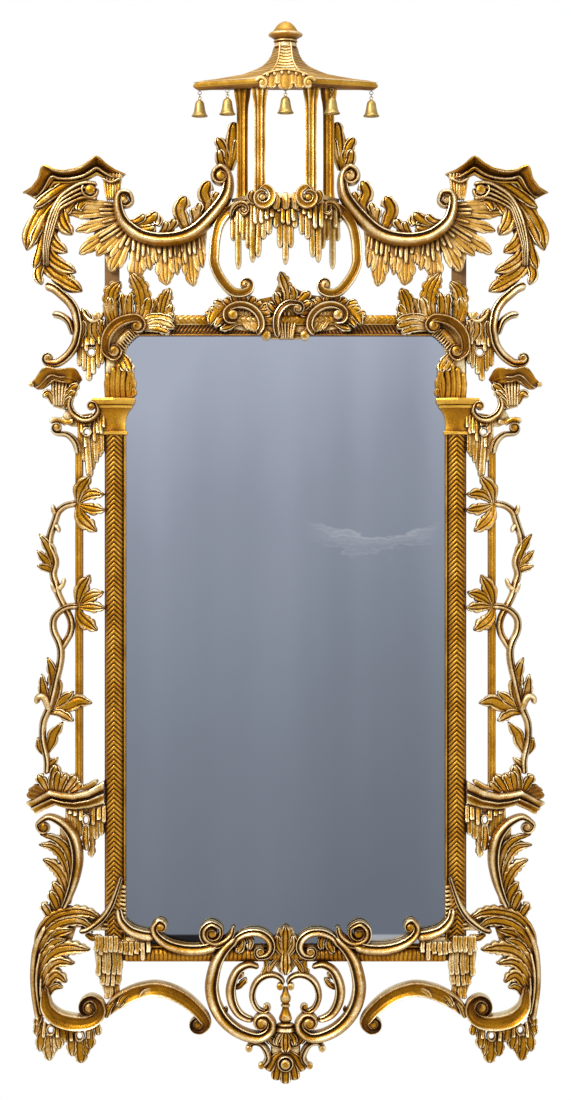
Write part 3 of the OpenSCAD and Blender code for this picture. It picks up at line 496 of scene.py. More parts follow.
class Nodes:
    """A node tree and short ways to add to it."""

    def __init__(self, tree):
        self.tree = tree

    def add(self, kind, **values):
        node = self.tree.nodes.new(kind)
        for key, value in values.items():
            setattr(node, key, value)
        return node

    def feed(self, socket, value):
        """Links a socket to another node's, or sets its value."""
        if hasattr(value, "links"):
            self.tree.links.new(value, socket)
        else:
            socket.default_value = value

    def math(self, kind, *values):
        node = self.add("ShaderNodeMath", operation=kind)
        for socket, value in zip(node.inputs, values):
            self.feed(socket, value)
        return node.outputs[0]

    def span(self, value, *limits):
        """Carries value from the range of the first two limits to that of the last two."""
        node = self.add("ShaderNodeMapRange")
        for socket, value in zip(node.inputs, (value, *limits)):
            self.feed(socket, value)
        return node.outputs[0]


class Finish(Nodes):
    """A material and short ways to shape its look."""

    def __init__(self, name):
        self.material = bpy.data.materials.new(name)
        self.material.use_nodes = True
        super().__init__(self.material.node_tree)
        self.out = self.tree.nodes["Principled BSDF"]
        self.place = self.add("ShaderNodeTexCoord").outputs["Object"]

    def put(self, name, value):
        self.feed(self.out.inputs[name], value)

    def noise(self, scale, detail=3, rough=.55, stretch=(1, 1, 1)):
        mapping = self.add("ShaderNodeMapping")
        self.feed(mapping.inputs["Scale"], stretch)
        self.feed(mapping.inputs["Vector"], self.place)
        node = self.add("ShaderNodeTexNoise")
        for name, value in (("Scale", scale), ("Detail", detail), ("Roughness", rough),
                            ("Vector", mapping.outputs[0])):
            self.feed(node.inputs[name], value)
        return node.outputs[0]

    def hollows(self, reach, samples):
        """Painted shade and grime: light in the open, dark within reach of other surfaces."""
        node = self.add("ShaderNodeAmbientOcclusion", samples=samples)
        node.inputs["Distance"].default_value = reach
        return node.outputs["AO"]

    def ramp(self, value, stops):
        """Colours a value by stops, each a place and a colour as tone() takes it."""
        node = self.add("ShaderNodeValToRGB")
        self.feed(node.inputs[0], value)
        bar = node.color_ramp.elements
        while len(bar) < len(stops):
            bar.new(.5)
        for element, (at, colour) in zip(bar, stops):
            element.position = at
            element.color = tone(*colour)
        return node.outputs[0]

    def mix(self, factor, a, b):
        node = self.add("ShaderNodeMix", data_type="RGBA")
        for k, value in ((0, factor), (6, a), (7, b)):
            self.feed(node.inputs[k], value)
        return node.outputs[2]

    def bump(self, height, strength, distance):
        node = self.add("ShaderNodeBump")
        for name, value in (("Strength", strength), ("Distance", distance), ("Height", height)):
            self.feed(node.inputs[name], value)
        self.put("Normal", node.outputs[0])


def gilding(name, low, deep, mid, high, metal=.88, rough=(.28, .5), bole=.26):
    """Old gold leaf with bole at the wear; painted shade and grime darken its hollows.

    low, deep, mid and high are its tones from the hollows to the edges with painted highlights.
    """
    f = Finish(name)
    # Painted shade and grime: darker where other surfaces are near
    ao = f.hollows(.0065, 5)
    # Painted highlight on sharp ridges and painted shade in sharp creases, from the mesh's
    # pointiness
    edge = f.span(f.add("ShaderNodeNewGeometry").outputs["Pointiness"], .42, .6, -.32, .22)
    value = f.math("MULTIPLY_ADD", ao, .8, edge)
    # Uneven tone: slow patches, then a fine grain
    value = f.math("MULTIPLY_ADD", f.noise(24, 4), .44, f.math("ADD", value, -.22))
    value = f.math("MULTIPLY_ADD", f.noise(420, 3), .24, f.math("ADD", value, -.12))
    colour = f.ramp(value, [(0, low), (.24, low), (.5, deep), (.77, mid), (.96, high)])
    wear = f.span(f.noise(95, 6, .68), .57, .67, 0, bole)
    colour = f.mix(wear, colour, tone(150, 88, 34))
    facing = f.add("ShaderNodeSeparateXYZ")
    f.feed(facing.inputs[0], f.add("ShaderNodeNewGeometry").outputs["Normal"])
    # Faces that look to the wall carry a brown wash and no gold
    rear = f.span(facing.outputs[1], .5, .75, 0, 1)
    wash = f.ramp(f.noise(30, 5), [(.3, (116, 82, 36)), (.7, (158, 120, 60))])
    f.put("Base Color", f.mix(rear, colour, wash))
    front = f.span(rear, 0, 1, 1, 0)
    f.put("Metallic", f.math("MULTIPLY", f.span(ao, .35, .8, .05, metal), front))
    grain = f.span(f.noise(210, 4), .35, .65, *rough)
    f.put("Roughness", f.math("MULTIPLY_ADD", rear, .35, grain))
    f.bump(f.noise(620, 4), .45, .0008)
    return f.material


GILT = gilding("gilt", (46, 18, 0), (100, 57, 0), (172, 121, 14), (248, 231, 186))
# A lighter copy with more bole: partly wear, partly a painted highlight on pieces facing the light
PALE = gilding("worn_gilt", (58, 26, 0), (124, 78, 12), (188, 142, 52), (246, 226, 178), metal=.6,
    rough=(.36, .58), bole=.4)
# A darker, browner copy; on the rear columns, the sill moulding and the small roofs it is painted
# shade
BROWN = gilding("brown_gilt", (48, 20, 0), (108, 64, 0), (166, 112, 8), (216, 168, 66), metal=.8,
    rough=(.3, .5), bole=.26)
# A darker copy still: painted shade in the cove under the top moulding and in the shelf's mouth
DARK = gilding("dark_shade_gilt", (32, 13, 0), (70, 38, 0), (116, 72, 8), (178, 126, 40), metal=.7,
    rough=(.3, .5), bole=.28)
SHADED = gilding("shaded_gilt", (24, 9, 0), (54, 28, 0), (92, 54, 6), (150, 100, 24), metal=.3,
    rough=(.5, .7), bole=.2)


def pine():
    """Old softwood, its grain upright."""
    f = Finish("pine")
    grain = f.noise(34, 5, .6, (1, 1, .06))
    rings = f.noise(150, 3, .5, (1, 1, .03))
    value = f.math("MULTIPLY_ADD", rings, .4, f.math("MULTIPLY", grain, .8))
    f.put("Base Color", f.ramp(value, [
        (.3, (62, 38, 14)), (.55, (94, 62, 24)), (.8, (124, 86, 36))]))
    f.put("Roughness", f.span(grain, .3, .7, .6, .8))
    f.bump(rings, .3, .0008)
    return f.material


def looking_glass():
    """Silvered plate with a painted reflection: a cold grey that darkens downwards."""
    f = Finish("looking_glass")
    split = f.add("ShaderNodeSeparateXYZ")
    f.feed(split.inputs[0], f.place)
    x, z = split.outputs[0], split.outputs[2]
    # Painted reflection: darker downwards and to the right, with faint bands and clouds
    height = f.span(z, SIGHT_BOTTOM * MM, SIGHT_TOP * MM, 0, 1)
    band = f.noise(5.5, 2, .5, (1, 1, .05))
    cloud = f.noise(6, 4, .55, (1, 1, .5))
    height = f.math("MULTIPLY_ADD", cloud, .16, f.math("ADD", height, -.08))
    height = f.math("MULTIPLY_ADD", band, .66, f.math("ADD", height, -.33))
    height = f.math("MULTIPLY_ADD", x, -.6, height)
    colour = f.ramp(height, [
        (0, (130, 138, 152)), (.4, (151, 160, 175)), (.75, (176, 184, 202)), (1, (207, 215, 234))])
    # Three thin pale lines under the middle that sag from x = .15
    wisp = f.noise(13, 5, .72, (.6, 1, 2))
    lift = f.math("MULTIPLY_ADD", wisp, -.09, z)
    away = f.math("ADD", x, -.15)
    sag = f.math("MULTIPLY_ADD", f.math("MULTIPLY", away, away), -2.4, lift)
    pale_lines = 0.0
    for at, wide, strong in ((-.024, .007, .42), (-.036, .014, .24), (-.052, .005, .2)):
        line = f.span(f.math("ABSOLUTE", f.math("ADD", sag, -at), 0), 0, wide, strong, 0)
        pale_lines = f.math("ADD", line, pale_lines)
    reach = f.math("MULTIPLY", f.span(x, .03, .09, 0, 1), f.span(x, .23, .265, 1, 0))
    colour = f.mix(f.math("MULTIPLY", pale_lines, reach), colour, tone(236, 240, 248))
    # What the foot of the glass reflects: dark on the left and pale on the right
    low = f.span(z, -.654, -.651, 1, 0)
    dark = f.math("MULTIPLY", low, f.span(x, -.1, -.06, 1, 0))
    colour = f.mix(dark, colour, tone(44, 44, 48))
    bright = f.math("MULTIPLY", low, f.span(x, .06, .1, 0, .7))
    colour = f.mix(bright, colour, tone(226, 230, 238))
    f.put("Base Color", colour)
    f.put("Metallic", 1.0)
    f.put("Roughness", f.span(cloud, .3, .7, .03, .07))
    return f.material


def plain_metal(name, dark, light, metal, rough, scale):
    """Bell metal, wire or steel, with painted shade and grime in its hollows, and spotted."""
    f = Finish(name)
    ao = f.hollows(.006, 4)
    spots = f.noise(scale, 4)
    value = f.math("MULTIPLY_ADD", spots, .6, f.math("ADD", ao, -.5))
    f.put("Base Color", f.ramp(value, [(.15, dark), (.85, light)]))
    f.put("Metallic", metal)
    f.put("Roughness", f.span(spots, .3, .7, rough - .08, rough + .1))
    f.bump(f.noise(scale * 5, 3), .2, .0003)
    return f.material


PINE = pine()
GLASS = looking_glass()
BRASS = plain_metal("bell_brass", (58, 40, 16), (178, 148, 84), .7, .44, 160)
WIRE = plain_metal("brass_wire", (60, 48, 28), (150, 128, 80), .8, .4, 300)
STEEL = plain_metal("steel", (70, 70, 72), (160, 160, 164), .9, .38, 200)


def make(name, c, nodes, material=GILT, body="frame", mirror=False, crease=42):
    """Builds the piece of the scene that stands for these nodes."""
    v = np.asarray(c.verts) * MM
    faces = c.faces
    if mirror:
        v = v * (-1, 1, 1)
        faces = [f[::-1] for f in faces]
    mesh = bpy.data.meshes.new(name)
    mesh.from_pydata(v.tolist(), [], faces)
    mesh.validate()
    mesh.shade_smooth()
    mesh.set_sharp_from_angle(angle=math.radians(crease))
    mesh.materials.append(material)
    piece = bpy.data.objects.new(name, mesh)
    bpy.context.scene.collection.objects.link(piece)
    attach(piece, body)
    if nodes:
        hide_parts(*nodes)


def pair(name, c, material=GILT, nodes=True, crease=42):
    """A left piece and its mirror image, which stand for the nodes of their own names."""
    for side in ("left", "right"):
        make("carved_%s_%s" % (name, side), c, ["%s_%s" % (name, side)] if nodes else [], material,
             mirror=side == "right", crease=crease)


# The sides of the frame

def pilaster():
    c = Carving(3)

    def rise(x, z):
        off = np.abs(x + 291)
        body = 13 * np.clip(1 - (off / 15.5) ** 2.6, 0, 1) ** .6
        leaflets = 2.6 * feathers(z, off, 8.2) * np.clip(body / 5, 0, 1)
        return np.maximum(body * .82 + leaflets, 7 * bead(x, -273.6, 2.6))
    relief(c, -307.6, -SIGHT_X, -660, 199, rise)
    pair("pilaster", c, BROWN)


def mouldings():
    end = SIGHT_X + .5
    c = Carving(4)

    def face(x, z):
        rise = 7.5 + 4.5 * bead(z, 394.5, 7.5) ** 2
        rise += .9 * feathers(np.abs(x), np.abs(z - 394.5), 9.6)
        return np.maximum(np.where(z > 387, rise, 0), 9 * bead(z, 386.3, 1.9))
    relief(c, -end, end, 384.5, 401.6, face)
    make("carved_top_moulding", c, ["top_moulding"])
    c = Carving(44)

    def cove(x, z):
        rise = 1 + 3 * ((z - 378) / 7) ** 2 + 2 * feathers(np.abs(x), (z - 377.5) * .8, 6.4)
        return np.maximum(np.where(z > 371, rise, 0), 8 * bead(z, 368.6, 2.4))
    relief(c, -end, end, SIGHT_TOP, 384.6, cove)
    for s in (-1, 1):
        arc = [(s * (259 + 13 * math.sin(a)), 353 + 13 * math.cos(a))
               for a in np.linspace(0, math.pi / 2, 10)]
        plate(c, [(s * 272.5, 367)] + arc, 30, .8)
    # The cove takes the darker copy as painted shade under the moulding
    make("carved_top_cove", c, [], DARK)
    c = Carving(5)

    def low(x, z):
        # Its leaflets stand upright: they run along x
        swell = 5 + 6 * bead(z, -686, 11.5) ** 2 + 1.5 * feathers(x, z * 0, 7.4)
        return np.maximum(9 * bead(z, -671.5, 3), np.where(z < -675, swell, 2.5))
    relief(c, -end, end, -697, SIGHT_BOTTOM, low)
    # The band takes the darker copy as painted shade under the scroll
    make("carved_sill_moulding", c, ["sill_moulding"], BROWN)


def capital():
    c = Carving(6)
    x = -289.5
    # Each stop: its height, its half width and how far its front stands out
    stops = [
        (198, 21, 0), (199, 23.5, 1), (203, 24, 1.5), (205, 22.5, 0), (206, 20.5, 0), (212, 20, 0),
        (222, 20.5, 0), (231, 22.5, 0), (238, 26.5, 0), (243, 31, 0), (243.6, 33, 1),
        (247.6, 34, 1), (248.4, 33, 0), (249.4, 36, 1), (253, 38, 1), (257, 39.5, 1), (260, 39, 0)]
    rings = []
    for z, half, lip in stops:
        rise = 12 + (half - 20) * .95
        plan = (
            (-half, 0), (half * .86, 0), (half * .86, rise * .62), (half * .45, rise * .9),
            (-2, rise + lip), (-half * .5, rise * .9), (-half, rise * .62))
        rings.append([(x + across, -(GROUND + ahead), z) for across, ahead in plan])
    c.loft(rings)
    pair("capital", c, BROWN, crease=18)


# The head

def corner_scroll():
    c = Carving(7)
    plate(c, [
        (-306, 262), (-306, 400), (-190, 400), (-190, 388), (-236, 376), (-250, 368), (-262, 364),
        (-269, 352), (-272, 336), (-271, 262)])
    scroll(c, [
        (-244, 388), (-252, 395), (-265, 394), (-280, 389), (-293, 379), (-302, 365), (-305, 350),
        (-303, 338), (-292, 330)], [13, 16, 18, 16, 13], [20, 26, 26, 20], start=(-252, 383),
        end=(-291, 340), back=28, section=HOLLOW, eye=1.02)
    sweep(c, [(-260, 378), (-270, 369), (-280, 358), (-289, 342)], 16, [12, 15, 12], ROUND, 24)
    for k in range(11):
        f = k / 10
        x = -258 - 34 * f
        z = 376 - 36 * f ** 1.25
        rib(c, (x - 2, z + 3), (x + 9, z - 9), 3.9, 6, 33)
    stalk = Carving(51)  # the flame leaves at the foot
    for i, (head, w) in enumerate(((304, 11), (314, 12), (322, 13), (320, 12), (312, 11))):
        x = -303 + i * 8.8
        leaf(stalk, [(x + 1, 260), (x, 284), (x + 1 + i * 1.2, head)], w * 1.15, 11 + 2 * i, 24, 1,
             -.1, .85, .16, teeth=2)
    leaf(stalk, [(-264, 262), (-260, 284), (-266, 308)], 13, 15, 26, 1, .1, .7, .2, teeth=3)
    leaf(stalk, [(-262, 262), (-257, 270), (-259, 278)], 8, 15, 27, 1)
    leaves(c, (
        (-298, 388, -301, 408, -297, 432, 18), (-276, 388, -273, 412, -277, 438, 18),
        (-262, 388, -266, 414, -263, 440, 17), (-242, 388, -236, 408, -230, 432, 20),
        (-233, 386, -227, 408, -217, 431, 19)), 17, 25, .2, 1, 2)
    leaves(c, (
        (-290, 384, -297, 412, -295, 440, -280, 458, 27),
        (-254, 384, -243, 412, -246, 444, -262, 473, 30),
        (-226, 384, -212, 400, -206, 424, -196, 447, 24)), 21, 26, .24, 1, 4)
    leaves(c, (
        (-218, 388, -202, 400, -192, 420, 16), (-216, 386, -202, 392, -189, 405, 15),
        (-240, 384, -220, 389, -203, 386, -188, 379, 17),
        (-240, 378, -222, 379, -208, 376, -196, 370, 14),
        (-244, 394, -226, 398, -206, 396, -188, 391, 16), (-280, 336, -269, 322, -262, 304, 16),
        (-288, 330, -278, 320, -271, 306, 15)), 16, 28)
    pair("corner_scroll", c)
    pair("corner_stalk", stalk, BROWN, nodes=False)


def crest_scroll():
    c = Carving(8)
    scroll(c, [
        (-261, 596), (-266, 608), (-279, 608), (-284, 596), (-282, 577), (-275, 560), (-260, 545),
        (-240, 534), (-213, 529), (-185, 531), (-163, 538), (-146, 549), (-129, 566), (-112, 586),
        (-101, 604), (-97, 622), (-99, 640), (-108, 651)],
        [8, 12, 16, 20, 22, 23, 24, 24, 23, 22, 19, 14], [22, 26, 30, 32, 32, 30, 26],
        start=(-273, 596), end=(-109, 636), back=27, turns=1.1, eye=.58)
    leaves(c, (
        (-256, 548, -236, 545, -220, 550, 17), (-266, 558, -250, 560, -238, 570, 15),
        (-264, 556, -244, 556, -228, 562, -217, 574, 23), (-222, 572, -215, 563, -218, 552, 14)),
        20, 35, .2, 1, 2, 2, .55, .26)
    leaves(c, (
        (-213, 536, -205, 546, -201, 559, 15), (-206, 536, -194, 550, -186, 563, 17),
        (-156, 548, -152, 564, -157, 582, 18), (-164, 542, -173, 560, -178, 581, -168, 601, 25),
        (-146, 556, -149, 572, -144, 590, 16), (-130, 570, -122, 588, -115, 609, 19),
        (-139, 562, -131, 588, -137, 608, -128, 627, 24)), 20, 35, .2, 1, 2, 2, .6, .26)
    leaves(c, (
        (-101, 644, -109, 662, -113, 682, 18), (-94, 652, -85, 674, -82, 700, 15),
        (-99, 650, -104, 678, -117, 702, 19), (-97, 646, -90, 682, -87, 729, 25)), 19, 27, .2, 1,
        2, 2, .6, .26)
    pair("crest_scroll", c)


def crest_drip():
    c = Carving(9)
    plate(c, [
        (-286, 590), (-330, 590), (-334, 566), (-322, 550), (-330, 532), (-310, 512), (-304, 488),
        (-288, 486), (-282, 530), (-268, 520), (-262, 486), (-240, 482), (-232, 516), (-218, 500),
        (-204, 470), (-188, 474), (-178, 504), (-166, 478), (-150, 478), (-136, 514), (-132, 560),
        (-160, 546), (-210, 538), (-250, 546), (-278, 572)], 27)
    # Each group of drips: where it leaves the scroll, its point, and the width it spreads to
    groups = (
        (-283, 588, -358, 593, 16), (-283, 578, -373, 576, 22), (-280, 568, -357, 545, 19),
        (-274, 558, -351, 506, 25), (-268, 551, -322, 503, 20), (-262, 545, -298, 476, 27),
        (-248, 539, -254, 459, 29), (-235, 537, -230, 478, 18), (-206, 534, -203, 453, 31),
        (-222, 536, -219, 490, 15), (-190, 536, -184, 470, 17), (-166, 542, -157, 451, 28),
        (-178, 538, -173, 484, 14), (-150, 553, -141, 482, 17))
    for x0, z0, x1, z1, wide in groups:
        a = np.array((x0, z0), float)
        b = np.array((x1, z1), float)
        gap = b - a
        side = np.array([-gap[1], gap[0]]) / np.linalg.norm(gap)
        lanes = max(2, int(round(wide / 8)))
        for s in (-1, 1):
            stop = c.dice.uniform(.72, .86)
            p0 = a + side * s * wide * .2
            p2 = a + gap * stop + side * s * wide * .42
            leaf(c, [p0, (p0 + p2) / 2 - side * s, p2], wide * .46, 11, 24.5, 1, .1, .75, .22,
                 2, 3)
        bend = (a + b) / 2 + side * c.dice.uniform(-1.5, 1.5)
        leaf(c, [a, bend, b], wide * .92, 12.5, 25, lanes, .06, .5, .26, teeth=3)
        for k in range(lanes - 1):
            p0 = a + side * (k - (lanes - 2) / 2) * wide * .3
            stop = c.dice.uniform(.34, .6)
            leaf(c, [p0, p0 + gap * stop * .5, p0 + gap * stop], wide * .24, 15.5, 25, 1, .1,
                 .8, .3, 2, 0)
    # The drips take the lighter copy, partly a painted highlight
    pair("crest_drip", c, PALE)


def corner_roof():
    c = Carving(10)
    top = [
        (-447, 612, 25), (-431, 618, 44), (-418, 632, 54), (-409, 653, 62), (-390, 646, 60),
        (-373, 644, 60), (-350, 649, 60), (-334, 658, 62), (-319, 668, 64), (-304, 657, 54),
        (-288, 648, 40), (-272, 643, 25)]
    low = [
        (-421, 598, 24), (-416, 597, 28), (-406, 606, 32), (-391, 624, 36), (-381, 625, 36),
        (-368, 625, 36), (-350, 627, 36), (-335, 632, 36), (-321, 640, 36), (-309, 635, 32),
        (-294, 629, 28), (-279, 634, 24)]
    cove = [
        (0, 0), (.02, .1), (.12, .12), (.15, .02), (.22, -.02), (.25, .14), (.3, .24), (.36, .26),
        (.4, .2), (.5, .22), (.62, .34), (.74, .54), (.84, .78), (.9, .97), (.95, 1.04), (1, 1)]
    canopy(c, top, low, cove)
    # The darker copy is painted shade in the roof's coves
    pair("corner_roof", c, BROWN)
    c = Carving(45)
    edgings(c, top, low, 1.8, .66, 2.2, ((4.4, 5), (4, 7), (3, 4)), -2, 2.4)
    for k in range(6):
        x = -308 + k * 5.4
        leaf(c, [(x, 642), (-294 + (x + 294) * .86, 622), (-294 + (x + 294) * .6, 596)], 6, 9,
             30 - abs(k - 2.5), 1, .1, .9)
    plate(c, [(-311, 642), (-303, 598), (-285, 598), (-277, 640)], 31)
    sweep(c, [(-312, 634), (-296, 627), (-280, 634)], 5, 12, ROUND, 30)
    pair("corner_edges", c, GILT, nodes=False)


def shoulder_leaf():
    c = Carving(11)
    plate(c, [
        (-326, 620), (-360, 622), (-386, 610), (-404, 582), (-413, 548), (-415, 510), (-408, 470),
        (-398, 466), (-392, 500), (-392, 530), (-380, 560), (-360, 586), (-326, 600)])
    leaves(c, (
        (-340, 624, -366, 625, -390, 612, -410, 596, -428, 583, 19),
        (-396, 586, -412, 562, -424, 538, -430, 520, 17),
        (-372, 614, -394, 600, -416, 576, -430, 548, -440, 512, 26),
        (-406, 556, -414, 526, -420, 500, -427, 479, 18),
        (-411, 520, -415, 492, -420, 472, -415, 453, 17),
        (-372, 598, -390, 578, -391, 560, -384, 548, 16),
        (-356, 612, -378, 598, -382, 576, -376, 556, -363, 538, 25),
        (-386, 590, -403, 560, -400, 536, -388, 520, -371, 508, 23),
        (-402, 556, -408, 528, -400, 502, -384, 488, -356, 474, 23),
        (-408, 530, -410, 498, -396, 474, -376, 461, -346, 442, 26),
        (-398, 482, -384, 470, -370, 464, -358, 466, 13),
        (-334, 604, -354, 600, -366, 586, -372, 572, 17), (-332, 598, -346, 590, -352, 578, 14)),
        18, 26, .2, 1, None, 2, .5, .26)
    for dx, w in ((0, 9), (8.5, 8), (16.5, 7.5), (24, 7)):
        sweep(c, [(-320, 624 - dx), (-342, 625 - dx), (-362, 616 - dx * .95),
                  (-382, 600 - dx * .8), (-396 + dx * .32, 576 - dx * .5),
                  (-405 + dx * .4, 548 - dx * .3), (-410 + dx * .35, 516), (-410 + dx * .3, 484)],
              [w, w, w * .8, w * .4], [20 - dx * .2, 24 - dx * .2, 22 - dx * .2, 17], ROUND, 26)
    ball(c, -331, 613, 8.5, 50)
    sweep(c, [
        (-318, 616), (-322, 605), (-331, 601), (-341, 605), (-345, 614), (-342, 623)],
        [4, 6, 6, 7], [16, 20, 22], ROUND, 26)
    pair("shoulder_leaf", c)


def throat():
    c = Carving(12)
    for s in (-1, 1):
        p = [
            (-64, 580), (-72, 588), (-86, 585), (-100, 573), (-113, 554), (-119, 530), (-121, 505),
            (-121, 490), (-115, 472), (-104, 455), (-90, 441), (-75, 438), (-62, 443), (-59, 452)]
        scroll(c, [(-s * x, z) for x, z in p], [12, 16, 17, 17, 17, 16, 12], [20, 26, 26, 24],
               start=(s * 72, 578), end=(s * 67.5, 452), back=25, section=STRAP, flip=s > 0,
               eye=.95)
    make("carved_throat_scrolls", c, ["throat_scrolls"])


# The pagoda

def facets(reach, side, front, turn=40):
    """The half hexagon of the pagoda from one side to the other, as (x, depth).

    It reaches forward to its front, and its sides turn inwards at the depth of turn.
    """
    return [(-side, 24), (-side, turn), (-front, reach), (front, reach), (side, turn), (side, 24)]


def pagoda_base():
    c = Carving(13)
    for z0, z1, grow in ((584, 588, .5), (588, 591, -2), (591, 598, 2)):
        p = facets(104 + grow, 89 + grow, 52)
        c.loft([[(x, -d, z0) for x, d in p], [(x, -d, z1) for x, d in p]])
    c.loft([[(x, -d, 577) for x, d in facets(97, 82, 48)],
            [(x, -d, 585) for x, d in facets(100, 86, 50)]])
    for s in (-1, 1):
        turn = [(s * 38 - s * (16 - 1.5 * a) * math.cos(a), 592 - (16 - 1.5 * a) * math.sin(a))
                for a in np.linspace(-1.6, 5.4, 26)]
        sweep(c, turn, [10, 12, 12, 9, 6], [13, 16, 14], STRAP, 98, flip=s > 0)
        ball(c, s * 39, 591, 5.5, 112, 98)
        leaves(c, ((50, 582, 58, 592, 55, 604, 13), (44, 600, 34, 608, 24, 604, 12)), 14, 94, .2,
               s, 2, 2)
        hook = [
            (93, 566), (91, 577), (83, 586), (72, 587), (64, 581), (63, 572), (69, 567), (76, 571),
            (75, 577)]
        sweep(c, [(s * x, z) for x, z in hook], [7, 10, 10, 8, 5], [12, 14, 14],
              SCROLL, [38, 46, 56, 66, 74, 76, 72], flip=s < 0)
    for x in (-16, 0, 16):
        lathe(c, [
            (4, 572), (7.4, 576), (8.8, 584), (8.8, 590), (6.6, 597), (3, 600)], x, -101, 28, 9,
            .12)
    curtain(c, [(x * .96, 586, x, z, 10) for x, z in
                ((-46, 492), (-37, 522), (-28, 530), (-16, 541), (-9, 508), (0, 480), (9, 508),
                 (16, 541), (28, 530), (37, 522), (46, 492))], 11, 90, .46)
    for s in (-1, 1):
        for x, end in ((88, 526), (79.5, 477), (70, 524), (62, 508), (55, 484)):
            curtain(c, [(x, 586, x, end, 10)], 11, 33 + 58 * (89 - x) / 37, .46, s)
    make("carved_pagoda_base", c, ["pagoda_base"])


def pagoda_columns():
    front, rear = Carving(14), Carving(46)
    tall = EAVE_Z - BASE_TOP
    # up: how far a head runs into the roof, whose underside rises towards its corners
    for c, x, y, up in ((front, 43, -84, 2.6), (rear, 73, -51, 5.8)):
        for s in (-1, 1):
            octagon(c, [
                (11.6, 0), (10.8, 4), (10.2, 10), (9.9, 50), (10, 100), (10.2, 140), (10.7, 152),
                (12, 162), (13.8, 170), (15, tall), (15.2, tall + up)], s * x, y, BASE_TOP)
    make("carved_front_columns", front, ["pagoda_columns"], GILT)
    # The rear columns take the darker copy as painted shade, behind the front ones and under the
    # roof
    make("carved_rear_columns", rear, [], BROWN)


def roof_rise(x, front):
    """How much higher the roof is at x than over its front."""
    return TIP_RISE * max(0, abs(x) - front) / 118


def pagoda_roof():
    c, trim, soffit, eaves = Carving(15), Carving(50), Carving(51), Carving(52)
    # The slope: a share of the height, and of the way out to the eaves
    hs = (0, .07, .129, .2, .286, .357, .443, .514, .657, .8, .943, 1)
    fs = (1, .88, .72, .57, .388, .302, .209, .144, .072, .032, .014, 0)

    def ring(h, grow):
        """The plan of the roof at a share of its height, grown by the lip of a tile course."""
        f = float(np.interp(h, hs, fs))
        front = 9 + 30 * f
        p = facets(58 + 56 * f, 19 + 138 * f, front, 26)
        out = []
        for i in range(5):
            lip = grow if i == 2 else .35 * grow
            for t in np.linspace(0, 1, 14, endpoint=False):
                x = p[i][0] + (p[i + 1][0] - p[i][0]) * t
                d = p[i][1] + (p[i + 1][1] - p[i][1]) * t
                bow = 1.6 * math.sin(math.pi * t) * (i == 2)
                out.append((x * (1 + lip / max(abs(x), 40)), -(d + lip * (d > 30)),
                            ROOF_Z + ROOF_H * h + roof_rise(x, front) * (1 - h) - bow))
        return out
    rings = []
    courses = 13
    for k in range(courses):
        h = k / courses
        rings += [ring(h, 1.5), ring(h + .6 / courses, 1.3), ring(h + .92 / courses, 0)]
    c.loft(rings + [ring(1, 0)])
    for s in (-1, 1):
        for part, profile in ((eaves, EAVE), (soffit, SOFFIT)):
            rings = []
            for f in np.linspace(0, 1, 26):
                x = 38 + 119 * f
                d = 114 - 88 * f
                mid = EAVE_Z + TIP_RISE * f + 6.5
                end = .3 + .7 * math.sqrt(max(0, 1 - max(0, (f - .94) / .06) ** 2))
                rings.append([(s * (x + out * .6 * end), -(d + out * .8 * end), mid + up * end)
                              for out, up in profile[::s]])
            part.loft(rings)
        hip = []
        for h in np.linspace(0, 1, 16):
            f = float(np.interp(h, hs, fs))
            hip.append((s * (9 + 30 * f), -(59 + 56 * f), ROOF_Z + ROOF_H * h))
        tube(trim, hip, 1.5)
        curl_line = [
            (s * 50, 785), (s * 42, 789), (s * 34, 786), (s * 33, 778), (s * 39, 775),
            (s * 43, 779)]
        sweep(trim, curl_line, [8, 8, 6], [5, 7, 6], ROUND, 112)
        ball(trim, s * 39, 781, 4.5, 120, 112)
    for x, z, w, v in (
            (0, 770, 25, 2), (-13, 778, 10, 1), (13, 778, 10, 1), (-24, 772, 19, 2),
            (24, 772, 19, 2), (-34, 777, 9, 1), (34, 777, 9, 1)):
        leaf(trim, [(x * .95, 803 - abs(x) * .22), (x, 788), (x, z)], w, 6, 112, v, .1, .86, .2,
             teeth=0)
    sweep(trim, [(-38, 794), (-20, 800), (0, 803), (20, 800), (38, 794)], 4, 5, ROUND, 113)
    for x in (-30, -18, -6, 6, 18, 30):
        ball(trim, x, 799 - abs(x) * .16, 2.6, 119, 112, 5, 10)
    soffit.loft([[(x, -d, EAVE_Z + up + roof_rise(x, 39)) for x, d in facets(108, 150, 38, 30)]
                 for up in (1, 8)])
    # The roof and its trim take the lighter copy, partly a painted highlight where they face the
    # light
    make("carved_pagoda_roof", c, ["pagoda_roof"], PALE)
    make("carved_roof_trim", trim, [], PALE)
    make("roof_eaves", eaves, [], BROWN)
    make("roof_soffit", soffit, [], SHADED)


def pagoda_finial():
    c = Carving(16)
    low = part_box("pagoda_finial")[0][2] / MM
    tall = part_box("pagoda_finial")[1][2] / MM - low
    profile = [
        (19, -.12), (19, .02), (17.4, .05), (18.4, .08), (20.4, .11), (20.4, .15), (18.6, .18),
        (19.4, .22), (22, .27), (25, .32), (28, .36), (29.2, .4), (29, .44), (27, .48),
        (23.5, .52), (21, .56), (19.6, .62), (17.6, .7), (15, .79), (11.6, .88), (7.4, .95),
        (3, .99), (.4, 1)]
    lathe(c, [(r, low + tall * h) for r, h in profile], 0, -42, 56)
    # The finial takes the lighter copy, partly a painted highlight
    make("carved_pagoda_finial", c, ["pagoda_finial"], PALE)


# The rail's cartouche, above the glass

